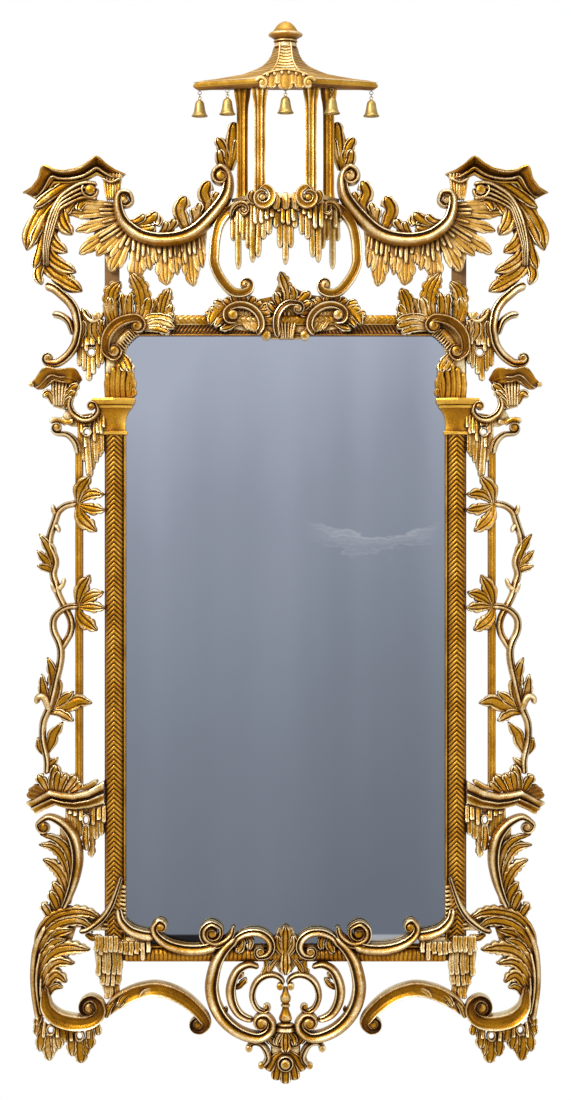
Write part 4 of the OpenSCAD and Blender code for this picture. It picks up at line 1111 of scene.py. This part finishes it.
def rail_cartouche():
    c = Carving(17)
    plate(c, [
        (-126, 386), (-130, 402), (-118, 418), (-104, 428), (-42, 430), (-22, 434), (-14, 452),
        (-4, 470), (10, 452), (36, 438), (60, 434), (104, 428), (118, 418), (130, 402), (126, 386),
        (60, 372), (20, 361), (-20, 361), (-60, 372)])
    for s in (-1, 1):
        for k in range(10):
            a = math.radians(172 - 168 * k / 9)
            edge = 1.04 + .1 * (k % 2)
            x0, z0 = 74 + 22 * math.cos(a), 400 + 13 * math.sin(a)
            x1, z1 = 78 + 52 * math.cos(a) * edge, 401 + 31 * math.sin(a) * edge
            leaf(c, [(s * x0, z0), (s * (x0 + x1) / 2, (z0 + z1) / 2 + 1), (s * x1, z1)], 17.5,
                 16, 26, 2, .2, .66, .24, teeth=0)
        for k in range(7):
            f = k / 6
            leaf(c, [(s * (86 - 38 * f), 410 - 5 * f), (s * (74 - 34 * f), 394 - 9 * f),
                     (s * (62 - 32 * f), 376 - 12 * f)], 8, 10, 27, 1, .12, .8, .2, teeth=0)
        arch = [
            (-84, 390), (-98, 392), (-101, 404), (-94, 413), (-80, 418), (-64, 416), (-50, 407),
            (-42, 394), (-41, 380), (-48, 369)]
        scroll(c, [(-s * x, z) for x, z in arch], [8, 11, 12, 12, 10], [22, 27, 24], back=27,
               section=STRAP, flip=s > 0)
        ball(c, s * 89, 401, 8, 53)
        ball(c, s * 33, 367, 8, 46)
        leaves(c, (
            (94, 420, 112, 412, 122, 400, 129, 384, 26), (98, 400, 110, 393, 120, 380, 15),
            (84, 388, 98, 381, 112, 376, 14)), 18, 27, .2, s, 2, 3, .5, .6)
    scroll(c, [
        (-13, 364), (-16, 382), (-14, 400), (-5, 414), (7, 421), (18, 420)], [9, 11, 12, 11, 9],
        [24, 28, 28, 26], end=(21, 411), back=28, section=STRAP, flip=True, eye=.8)
    for k in range(6):
        a = math.radians(158 - 136 * k / 5)
        rib(c, (2 + 16 * math.cos(a), 384 + 24 * math.sin(a)), (2 + 9 * math.cos(a), 361), 6.2, 9,
            26, .1)
    leaves(c, (
        (14, 410, 28, 414, 44, 424, 16), (-12, 404, -22, 412, -30, 422, 15),
        (10, 414, 24, 424, 42, 441, 19), (-8, 412, -13, 426, -17, 440, 16),
        (10, 416, 14, 436, 8, 452, 14), (2, 414, 4, 438, -2, 456, -9, 475, 21)), 19, 28)
    make("carved_rail_cartouche", c, ["rail_cartouche"])


# The side carvings

def side_bracket():
    c = Carving(18)
    for x0, x1, z0, z1 in (
            (-352, -337, 322, 388), (-324, -309, 322, 396), (-338, -323, 348, 390),
            (-338, -323, 304, 330)):
        slab(c, x0, x1, z0, z1)
    scroll(c, [
        (-408, 452), (-394, 447), (-380, 436), (-367, 424), (-358, 410), (-354, 395), (-352, 380),
        (-354, 365), (-358, 350), (-367, 336), (-378, 326), (-389, 320), (-400, 320)],
        [15, 16, 17, 16, 15, 15, 15, 14], [18, 24, 26, 24, 20], end=(-402, 328), back=27, eye=.7)
    sweep(c, [(-396, 403), (-382, 401), (-368, 390), (-360, 368)], [13, 13, 12], [18, 22], STEM,
        26)
    curtain(c, (
        (-350, 380, -350, 314, 9), (-343, 380, -342, 306, 9), (-320, 380, -318, 311, 8),
        (-312, 384, -312, 318, 8)), 10, 26, .5)
    curtain(c, (
        (-334, 332, -334, 289, 10), (-327, 333, -326, 300, 8), (-338, 376, -336, 349, 9),
        (-328, 378, -327, 349, 9)), 12, 27, 0)
    leaves(c, (
        (-311, 366, -316, 380, -311, 394, 14), (-348, 362, -344, 376, -345, 392, 15),
        (-318, 358, -325, 374, -322, 394, 17), (-336, 358, -333, 376, -345, 413, 19)), 19, 28)
    sweep(c, [
        (-346, 411), (-338, 398), (-329, 391), (-319, 393), (-311, 406)], [6, 9, 10, 9],
        [14, 20, 14], ROUND, 27)
    ball(c, -321, 400, 6.5, 47)
    hoop(c, -330, 339, 7.5, 4, 9)
    for k in range(5):
        rib(c, (-396 + k * 6, 290), (-393 + k * 4, 248), 6.6, 9, 27, .1)
    plate(c, [(-398, 292), (-395, 246), (-374, 240), (-364, 288)], 29)
    leaves(c, (
        (-394, 250, -402, 268, -412, 262, 14), (-378, 256, -366, 272, -351, 285, 16),
        (-378, 250, -368, 262, -355, 273, 14), (-378, 244, -370, 254, -361, 262, 12)), 16, 28)
    plate(c, [
        (-372, 244), (-352, 232), (-326, 236), (-312, 240), (-309, 212), (-364, 212), (-384, 222)])
    for x0, x1, z0, z1 in ((-352, -343, 170, 214), (-331, -309, 172, 214), (-344, -330, 160, 194)):
        slab(c, x0, x1, z0, z1)
    scroll(c, [
        (-364, 262), (-366, 247), (-359, 233), (-343, 224), (-328, 227), (-319, 238), (-322, 250)],
        [8, 12, 12, 10, 8], [16, 22, 18], end=(-329, 246), back=27, eye=.66)
    scroll(c, [
        (-352, 166), (-355, 181), (-362, 192), (-372, 199), (-384, 200)], [13, 14, 13, 11, 9],
        [18, 20, 22, 22], end=(-387, 210), back=26, section=STEM, eye=.66)
    leaf(c, [(-372, 216), (-386, 224), (-401, 221)], 11, 15, 26, 1, .1, .7, .2, teeth=2)
    leaf(c, [(-380, 226), (-372, 220), (-360, 222)], 9, 14, 26, 1, .1, .7, .2, teeth=1)
    curtain(c, (
        (-350, 226, -348, 162, 9), (-344, 200, -342, 152, 8), (-324, 228, -321, 150, 9),
        (-318, 232, -315, 160, 8), (-312, 236, -311, 166, 7), (-329, 226, -327, 138, 8)), 10, 26,
        .46)
    curtain(c, (
        (-337, 194, -332, 125, 12), (-341, 230, -339, 212, 9), (-334, 230, -334, 212, 8)), 13, 27,
        0)
    hoop(c, -337, 203, 7, 4, 14)
    pair("side_bracket", c)
    c = Carving(47)
    top = [
        (-435, 285, 25), (-426, 292, 40), (-407, 312, 56), (-384, 309, 56), (-359, 311, 56),
        (-350, 300, 40), (-346, 292, 26)]
    low = [
        (-420, 275, 24), (-412, 276, 30), (-392, 289, 40), (-382, 287, 40), (-368, 285, 40),
        (-358, 284, 32), (-352, 284, 25)]
    canopy(c, top, low, [
        (0, 0), (.08, .22), (.2, .3), (.27, .34), (.3, .5), (.42, .5), (.52, .56), (.66, .66),
        (.8, .8), (.9, .93), (.96, 1), (1, 1)])
    # The darker copy is painted shade in the roof's coves
    pair("bracket_roof", c, BROWN, nodes=False)
    c = Carving(48)
    edgings(c, top, low, 1.4, .62, 1.6, ((3, 4), (3, 6), (2.8, 4)), 1, 2.2)
    ball(c, -432, 284, 4.5, 34)
    pair("bracket_edges", c, GILT, nodes=False)


def side_bar():
    c = Carving(19)

    def rise(x, z):
        off = x + 351
        groove = .5 + .5 * np.cos(off * 2 * math.pi / 5)
        wear = .5 * np.sin(z * .11) + .4 * np.sin(z * .043 + 1)
        return 10.5 * np.clip(1 - (off / 7) ** 4, 0, 1) ** .5 + 1.2 * groove + wear
    relief(c, -358, -344, -399, 170, rise, 1.15)
    pair("side_bar", c, BROWN)


def vine():
    c = Carving(20)
    stem = [12, 13.5, 13, 12]
    sweep(c, [
        (-355, 82), (-373, 78), (-386, 68), (-391, 55), (-395, 43), (-400, 27), (-401, 10),
        (-394, -6), (-391, -20), (-395, -38), (-391, -54), (-386, -73), (-378, -90), (-367, -111),
        (-364, -126), (-367, -141), (-376, -157), (-383, -168)], stem, [14, 15, 14, 13, 12], STEM,
        26)
    sweep(c, [
        (-352, -93), (-368, -94), (-383, -101), (-393, -113), (-395, -127), (-392, -140),
        (-386, -152), (-382, -166), (-382, -182), (-385, -199), (-389, -215), (-395, -242),
        (-402, -266), (-411, -288), (-413, -306), (-412, -323), (-408, -341), (-405, -358),
        (-406, -378)], stem, [16, 17, 16, 15], STEM, 27)
    for p in (
            ((-389, 62), (-394, 70), (-395, 80)), ((-393, 46), (-387, 40), (-384, 32)),
            ((-390, -66), (-380, -58), (-375, -45)), ((-388, -70), (-394, -62), (-397, -52))):
        sweep(c, p, [12, 9, 7], [13, 14, 15], ROUND, 27)
    leaves(c, (
        (-354, 82, -349, 106, -331, 128, 26), (-352, 84, -333, 97, -308, 97, 22),
        (-352, 80, -332, 73, -306, 70, 22), (-354, 80, -346, 56, -321, 34, 28),
        (-354, -92, -348, -66, -332, -40, 26), (-352, -92, -334, -77, -309, -69, 23),
        (-352, -94, -332, -94, -306, -96, 21), (-354, -95, -346, -114, -320, -134, 27)), 18, 27,
        .2, 1, 3, 3, .3, .62)
    leaves(c, (
        (-391, -34, -396, -8, -404, 10, -418, 30, 20), (-391, -32, -404, -18, -422, 2, 17),
        (-391, -36, -404, -29, -422, -24, 15)), 17, 28, .2, 1, 2, 3, .4, .6)
    leaves(c, ((-398, -268, -391, -236, -394, -208, -404, -180, 25),
               (-400, -262, -410, -240, -414, -208, 18)), 17, 28, .2, 1, 2, 4, .5, .62)
    sweep(c, [
        (-400, -272), (-406, -254), (-413, -246), (-421, -249), (-423, -259)], [11, 14, 14, 12, 9],
        [16, 20, 20, 15], ROUND, 28)
    leaves(c, (
        (-400, -270, -384, -257, -360, -238, 19), (-400, -274, -382, -275, -360, -288, 17),
        (-400, -272, -374, -264, -350, -254, -329, -258, 25)), 17, 27, .2, 1, 2, 3, .42, .5)
    leaves(c, (
        (-408, -344, -398, -324, -392, -308, -378, -290, 21),
        (-408, -346, -416, -334, -421, -316, 15), (-407, -372, -398, -360, -386, -350, 14)), 15,
        28, .2, 1, 2, 2, .5, .6)
    pair("vine", c)


def shelf():
    c = Carving(21)
    leaves(c, (
        (-376, -410, -366, -394, -355, -380, 18), (-384, -410, -380, -392, -371, -377, 17),
        (-404, -408, -412, -392, -420, -379, 17), (-390, -410, -388, -388, -383, -372, 17),
        (-398, -408, -394, -384, -388, -362, 18), (-366, -410, -356, -402, -346, -392, 15)), 18,
        28, .16, 1, 2, 3, .5, .26)
    leaf(c, [(-352, -404), (-334, -398), (-318, -388)], 10, 22, 27, 1)
    top = [
        (-441, -426, 25), (-421, -416, 40), (-401, -405, 54), (-381, -409, 56), (-361, -411, 56),
        (-334, -404, 56), (-308, -389, 52)]
    low = [
        (-425, -448, 24), (-409, -439, 30), (-391, -431, 36), (-374, -436, 38), (-357, -438, 38),
        (-332, -435, 38), (-308, -428, 36)]
    canopy(c, top, low, [
        (0, 0), (.05, .16), (.12, .2), (.22, .16), (.3, .26), (.36, .5), (.41, .62), (.46, .6),
        (.5, .4), (.56, .36), (.62, .6), (.7, .86), (.8, 1.02), (.9, 1.04), (.97, .96), (1, .8)])
    plate(c, [
        (-375, -430), (-366, -468), (-349, -480), (-344, -484), (-344, -446), (-333, -446),
        (-333, -470), (-344, -486), (-330, -500), (-318, -480), (-308, -474), (-308, -430)], 27)
    curtain(c, (
        (-370, -434, -369, -466, 10), (-362, -434, -360, -474, 10), (-353, -434, -350, -486, 11),
        (-331, -434, -330, -500, 9), (-322, -434, -322, -490, 11), (-313, -432, -313, -483, 10)),
        11, 25, .5)
    leaf(c, [(-339, -466), (-339, -488), (-337, -508)], 15, 17, 27, 2, .1, .8, .24, teeth=3)
    leaf(c, [(-330, -478), (-330, -500), (-330, -520)], 15, 13, 25, 1, .1, .8, .3, teeth=3)
    hoop(c, -339, -456, 6, 4.5, 12, tall=1.4)
    pair("shelf", c)
    c = Carving(49)
    leaves(c, (
        (-404, -412, -416, -404, -430, -399, 12), (-405, -417, -422, -408, -437, -405, 12),
        (-404, -422, -422, -416, -440, -413, 13)), 16, 26, .2, 1, 1, 0)
    # The mouth takes the darker copy as painted shade in the cavity
    pair("shelf_mouth", c, DARK, nodes=False)


def leg():
    c = Carving(22)
    scroll(c, [
        (-420, -462), (-404, -451), (-388, -455), (-373, -466), (-361, -482), (-355, -500),
        (-353, -518), (-354, -536), (-359, -560), (-367, -584), (-377, -606)],
        [9, 12, 16, 19, 20, 20, 18, 14, 9], [18, 24, 26, 24, 20], start=(-409, -467), back=27,
        turns=.9, eye=.6, flip=True)
    plate(c, [
        (-384, -470), (-366, -486), (-360, -516), (-364, -556), (-376, -596), (-398, -626),
        (-404, -604), (-392, -572), (-384, -524)])
    leaves(c, (
        (-369, -598, -362, -552, -369, -511, -388, -489, -417, -480, 16),
        (-371, -600, -367, -556, -376, -522, -394, -502, -419, -498, 20),
        (-375, -602, -373, -570, -383, -546, -397, -531, -412, -523, 21),
        (-379, -606, -379, -588, -386, -574, -396, -561, 18),
        (-385, -612, -391, -596, -400, -576, 17), (-396, -624, -404, -612, -413, -596, 16)), 18,
        26)
    plate(c, [
        (-404, -620), (-384, -612), (-350, -608), (-318, -616), (-322, -640), (-356, -640),
        (-364, -664), (-392, -668), (-396, -694), (-404, -720), (-404, -760), (-424, -790),
        (-430, -740), (-428, -690), (-424, -650)], 27)
    leaves(c, (
        (-422, -690, -416, -650, -394, -622, -360, -612, -332, -614, -311, -626, 21), (-420, -700,
        -409, -656, -385, -633, -354, -626, -334, -634, -328, -648, 18),
        (-423, -712, -412, -672, -392, -650, -360, -641, 20),
        (-424, -716, -410, -682, -394, -664, -372, -657, 15),
        (-420, -756, -417, -712, -396, -682, -366, -673, -332, -676, 27),
        (-417, -760, -408, -718, -388, -697, -358, -699, 20),
        (-413, -762, -403, -732, -389, -719, -371, -731, 21),
        (-409, -764, -399, -745, -388, -738, -378, -741, 13)), 19, 26, .24)
    for high, width, points in (
            (20, [9, 12, 12, 9],
             [(-421, -796), (-427, -750), (-428, -708), (-423, -669), (-408, -636)]),
            (22, [7, 8, 6], [(-415, -786), (-421, -750), (-422, -714), (-416, -680)]),
            (23, [6, 7, 5], [(-410, -778), (-415, -748), (-415, -722)])):
        sweep(c, points, width, [high * .8, high, high * .9], ROUND, 25)
    scroll(c, [
        (-408, -738), (-407, -756), (-403, -774), (-388, -789), (-369, -796), (-350, -798),
        (-333, -796), (-320, -789), (-313, -777), (-316, -764), (-326, -756)],
        [10, 18, 25, 28, 28, 26, 24, 20, 15, 12], [20, 28, 32, 32, 30], end=(-331, -773), back=27,
        section=HOLLOW, turns=1.1, eye=.56)
    leaves(c, (
        (-414, -778, -420, -792, -423, -806, 14), (-414, -790, -420, -806, -424, -822, 15),
        (-409, -800, -415, -824, -417, -850, 18), (-405, -822, -404, -842, -400, -865, 19),
        (-389, -800, -387, -824, -384, -846, 18), (-394, -822, -393, -838, -392, -852, 13),
        (-379, -806, -377, -820, -374, -834, 14), (-366, -806, -364, -832, -362, -858, 18),
        (-334, -804, -332, -824, -331, -845, 17), (-322, -800, -320, -810, -317, -822, 13),
        (-343, -828, -339, -842, -338, -856, 13), (-351, -832, -349, -848, -346, -869, 20)), 12,
        26, .1, 1, 2)
    curtain(c, (
        (-409, -800, -411, -826, 6), (-389, -802, -387, -826, 6), (-364, -806, -363, -832, 6),
        (-336, -806, -334, -828, 6)), 17, 26, 0)
    for x, z in ((-399, -813), (-350, -823)):
        hoop(c, x, z, 6.6, 5, 11, tall=1.2)
    pair("leg", c)


def sill_scroll():
    c = Carving(23)
    plate(c, [
        (-325, -655), (-325, -684), (-320, -718), (-308, -752), (-284, -752), (-280, -716),
        (-276, -684), (-232, -680), (-232, -655)], 29)
    for x0, x1, high, low, back in (
            (-321, -288, -652, -683, 35), (-280, -234, -662, -682, 33),
            (-318, -283, -680, -718, 30), (-312, -285, -712, -740, 28),
            (-304, -288, -736, -759, 26)):
        count = int((x1 - x0) / 8)
        for k in range(count + 1):
            x = x0 + (x1 - x0) * k / count + c.dice.uniform(-.8, .8)
            end = low + c.dice.uniform(-4, 5)
            leaf(c, [
                (x, high), (x + 1, (high + end) / 2), (x + c.dice.uniform(-1, 1), end)],
                c.dice.uniform(9, 12), c.dice.uniform(8, 12.5), back, 1, .1, .9, .16, 2, 2)
    leaf(c, [(-242, -664), (-242, -680), (-242, -694)], 9, 14, 34, 1, .1, .8, .3, 2, 0)
    strap = [
        (-279, -552), (-284, -568), (-290, -585), (-297, -602), (-308, -619), (-322, -632),
        (-337, -642), (-350, -645)]
    sweep(c, strap, [7, 10, 12, 11], [14, 21, 19], SCROLL, 27)
    for k in range(11):
        z = -566 - k * 7.4
        rib(c, (-297 - max(0, k - 5) * 3, z), (-271, z - 5), 7, 9, 26, .1)
    plate(c, [(-298, -560), (-271, -560), (-271, -645), (-334, -645), (-310, -622), (-298, -600)])
    leaf(c, [(-340, -650), (-326, -657), (-312, -654)], 14, 16, 26, 2)
    sweep(c, [
        (-284, -606), (-279, -626), (-264, -642), (-244, -650), (-222, -653)], [11, 17, 20, 20],
        [18, 24, 22], SCROLL, 27)
    scroll(c, [
        (-215, -627), (-223, -638), (-219, -651), (-205, -663), (-186, -671), (-163, -675),
        (-139, -674), (-117, -668)], [10, 15, 19, 21, 20], [20, 27, 26], start=(-212, -638),
        back=27, eye=.62, turns=.7)
    scroll(c, [
        (-88, -636), (-93, -652), (-106, -663), (-122, -666), (-137, -657), (-139, -642),
        (-127, -631), (-112, -637)], [7, 12, 15, 16, 15, 12, 9], [16, 24, 24], end=(-124, -647),
        back=28, turns=1.1, eye=.5)
    pair("sill_scroll", c)


def apron_arch():
    c = Carving(24)
    scroll(c, [
        (-306, -785), (-291, -769), (-272, -756), (-250, -746), (-222, -741), (-196, -746),
        (-173, -757), (-153, -773), (-139, -789), (-134, -801), (-142, -811)],
        [14, 22, 26, 26, 26, 25, 24, 22, 20, 16, 12], [18, 26, 28, 28, 28, 24], end=(-149, -800),
        back=27, section=HOLLOW, turns=.9, eye=.66)
    leaves(c, (
        (-262, -748, -274, -756, -284, -771, 12), (-222, -740, -238, -745, -247, -756, 10),
        (-292, -764, -300, -776, -304, -790, 12)), 15, 40)
    pair("apron_arch", c)


def apron_cartouche():
    c = Carving(25)
    for s in (-1, 1):
        f = s > 0

        def side(points):
            return [(-s * x, z) for x, z in points]
        scroll(c, side([
            (-84, -656), (-104, -676), (-117, -698), (-124, -725), (-125, -745), (-120, -768),
            (-108, -790), (-90, -808), (-68, -820), (-45, -824), (-28, -815), (-23, -801),
            (-30, -789)]), [14, 20, 23, 24, 24, 23, 22, 20, 17, 13], [20, 28, 30, 30, 26],
            end=(s * 40, -800), back=27, turns=.9, flip=f, eye=.66)
        scroll(c, side([
            (-45, -706), (-62, -702), (-78, -709), (-88, -724), (-93, -745), (-90, -766),
            (-80, -784), (-66, -793), (-54, -795)]), [9, 13, 16, 18, 17, 14, 10], [16, 22, 22, 18],
            back=26, flip=f)
        scroll(c, side([
            (-4, -735), (-8, -725), (-21, -719), (-36, -721), (-48, -730), (-55, -744),
            (-56, -760), (-49, -775), (-38, -781), (-29, -777)]), [8, 10, 12, 12, 11, 10, 8],
            [16, 21, 18], end=(s * 34, -772), back=27, section=SCROLL, turns=.5, flip=f)
        scroll(c, side([
            (-90, -670), (-80, -655), (-62, -647), (-42, -648), (-28, -658), (-24, -672),
            (-31, -684), (-44, -687)]), [9, 15, 16, 14, 11], [18, 25, 23], end=(s * 42, -678),
            back=27, turns=.8, flip=f, eye=.66)
        leaves(c, (
            (-80, -652, -74, -666, -82, -682, 14), (-68, -650, -60, -662, -62, -676, 12),
            (-90, -742, -78, -738, -66, -724, 11), (-90, -730, -80, -722, -70, -716, 9),
            (-112, -772, -106, -778, -98, -776, 11), (-34, -690, -32, -706, -40, -722, 12),
            (-12, -690, -22, -702, -30, -716, 11)), 15, 27, .24, -s)
        sweep(c, side([
            (-64, -842), (-54, -834), (-42, -836), (-33, -847), (-30, -861), (-38, -873)]),
            [9, 11, 12, 13, 12, 9], [16, 22, 22, 18], STEM, 27)
        leaves(c, [(-4, -840, -18, -836, -30, -824, 13)], 16, 27, .24, -s)
        leaves(c, ((-6, -852, -20, -864, -31, -882, 17), (-5, -858, -13, -878, -17, -898, 16)),
               16, 27, .1, -s, 2, 0, .6, .16)
        ball(c, s * 9, -738, 6, 46)
        ball(c, s * 62, -843, 6, 46)
        ball(c, s * 41, -873, 5.5, 42)
    leaf(c, [(0, -866), (0, -886), (0, -904)], 18, 17, 27, 2, .1, .6, .16, teeth=0)
    plate(c, [(-26, -832), (26, -832), (22, -884), (-22, -884)], 32, 3)
    leaves(c, (
        (-4, -686, -14, -668, -13, -650, 13), (4, -686, 14, -668, 13, -650, 13),
        (0, -690, 0, -664, 0, -635, 22), (0, -676, 0, -698, 0, -719, 20),
        (0, -812, 0, -832, 0, -850, 20), (-4, -812, -14, -826, -16, -838, 12),
        (4, -812, 14, -826, 16, -838, 12)), 22, 28)
    ball(c, 0, -868, 8, 56)
    hoop(c, 0, -868, 12, 5, 22)
    lathe(c, [
        (1, -738), (4, -739), (5, -746), (6, -750), (9, -755), (9.4, -759), (8, -764), (5.5, -767),
        (8, -769), (8, -772), (5.5, -774), (6.5, -779), (9.5, -786), (11.5, -792), (10.5, -796),
        (8, -799), (14, -801), (15.5, -803), (13, -806), (17, -808), (18, -813)][::-1], 0, -36, 36,
        12, .05)
    plate(c, [(-20, -804), (20, -804), (44, -822), (30, -838), (-30, -838), (-44, -822)], 30)
    plate(c, [(-12, -640), (12, -640), (26, -690), (10, -716), (-10, -716), (-26, -690)], 30)
    make("carved_apron_cartouche", c, ["apron_cartouche"])


# The bells, finely turned

def bells():
    for i in range(1, 6):
        c = Carving(30 + i)
        low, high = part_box("bell_%d" % i)
        x, y = ((low[k] + high[k]) / 2 / MM for k in (0, 1))
        rim = low[2] / MM
        outer = [
            (13.8, 0), (13.8, 1), (12.9, 2), (12.3, 2.6), (11.6, 4), (10.4, 7), (9.4, 11),
            (8.6, 16), (8, 20), (7.2, 23), (5.8, 25.4), (3.8, 27), (2.4, 27.8), (2.2, 28.6),
            (1.2, 29)]
        inner = [
            (.8, 25.4), (4.4, 24), (5.8, 22), (6.8, 18), (7.4, 13), (8.6, 8), (10.2, 4),
            (11.8, 1.6), (13, .2)]
        lathe(c, [(r, rim + h) for r, h in outer + inner], x, y, 40, joined=True)
        loop = [(x + 2.6 * math.cos(a), y, rim + 31.3 + 2.6 * math.sin(a))
                for a in np.linspace(-math.pi / 2, 1.5 * math.pi, 20)]
        tube(c, loop, .6, 8)
        make("turned_bell_%d" % i, c, ["bell_%d" % i], BRASS, "bell_%d" % i)


for carve in (
        pilaster, mouldings, capital, corner_scroll, crest_scroll, crest_drip, corner_roof,
        shoulder_leaf, throat, pagoda_base, pagoda_columns, pagoda_roof, pagoda_finial,
        rail_cartouche, bells, side_bracket, side_bar, vine, shelf, leg, sill_scroll, apron_arch,
        apron_cartouche):
    carve()

# The frame's own parts keep their shape and get these finishes
KEPT = ((PINE, ["back_post_left", "back_post_right", "back_rail_top", "back_rail_bottom",
                "glass_blocks", "backboards", "backboard_batten"]),
        (GLASS, ["mirror_plate"]),
        (WIRE, ["eye_screws"] + ["link_%d" % i for i in range(1, 6)]),
        (STEEL, ["hanger_plates", "hanger_ring_left", "hanger_ring_right", "back_screws"]))
for finish, names in KEPT:
    for name in names:
        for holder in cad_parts[name].material_slots:
            holder.material = finish

# The studio, in metres

FLOOR_Z = -1.3
CAMERA_Y = -4.3
FRONT_FROM_CAMERA = 4.27  # to the middle of the carving's depth
PICTURE_TALL = 1.87  # height of the photograph at that distance
SENSOR = 24


def stand(name, data, place=(0, 0, 0)):
    """An object of the studio."""
    item = bpy.data.objects.new(name, data)
    item.location = place
    bpy.context.scene.collection.objects.link(item)
    return item


def softbox(name, place, size, power, colour=(1, 1, 1)):
    """A lamp that faces the middle of the frame."""
    light = bpy.data.lights.new(name, "AREA")
    light.shape = "RECTANGLE"
    light.size, light.size_y = size
    light.energy = power
    light.color = colour
    aim = -Vector(place)
    stand(name, light, place).rotation_euler = aim.to_track_quat("-Z", "Y").to_euler()


floor_mesh = bpy.data.meshes.new("floor")
floor_mesh.from_pydata([(x, y, FLOOR_Z) for x, y in ((-4, -3.4), (4, -3.4), (4, 1.4), (-4, 1.4))],
                       [], [(0, 1, 2, 3)])
paper = Finish("paper")
paper.put("Base Color", paper.ramp(paper.noise(3, 2), [
    (0, (232, 231, 228)), (1, (240, 239, 237))]))
paper.put("Roughness", .9)
floor_mesh.materials.append(paper.material)
floor = stand("floor", floor_mesh)

softbox("key", (-1.9, -2.6, 2.3), (1.2, 1.2), 160, (1, .97, .92))
softbox("fill", (2.6, -2.8, .6), (1.6, 2.2), 42, (.96, .98, 1))
softbox("top", (0, -.6, 2.8), (1.6, .8), 36)

# A white world: full to the camera, dimmer as light and in reflections
world = bpy.data.worlds.new("studio")
bpy.context.scene.world = world
world.use_nodes = True
sky = Nodes(world.node_tree)
rays = sky.add("ShaderNodeLightPath").outputs
seen = sky.math("MAXIMUM", rays["Is Camera Ray"], rays["Is Transmission Ray"])
light = sky.span(rays["Is Glossy Ray"], 0, 1, .42, .62)
shade = sky.tree.nodes["Background"].inputs
sky.feed(shade["Strength"], sky.math("MAXIMUM", seen, light))
sky.feed(shade["Color"], (1, 1, 1, 1))

lens = bpy.data.cameras.new("camera")
lens.sensor_fit = "VERTICAL"
lens.sensor_height = SENSOR
lens.lens = SENSOR * FRONT_FROM_CAMERA / PICTURE_TALL
lens.dof.use_dof = False
camera = stand("camera", lens, (0, CAMERA_Y, .0025))
camera.rotation_euler = (math.pi / 2, 0, 0)
bpy.context.scene.camera = camera
bpy.context.scene.view_settings.view_transform = "Standard"
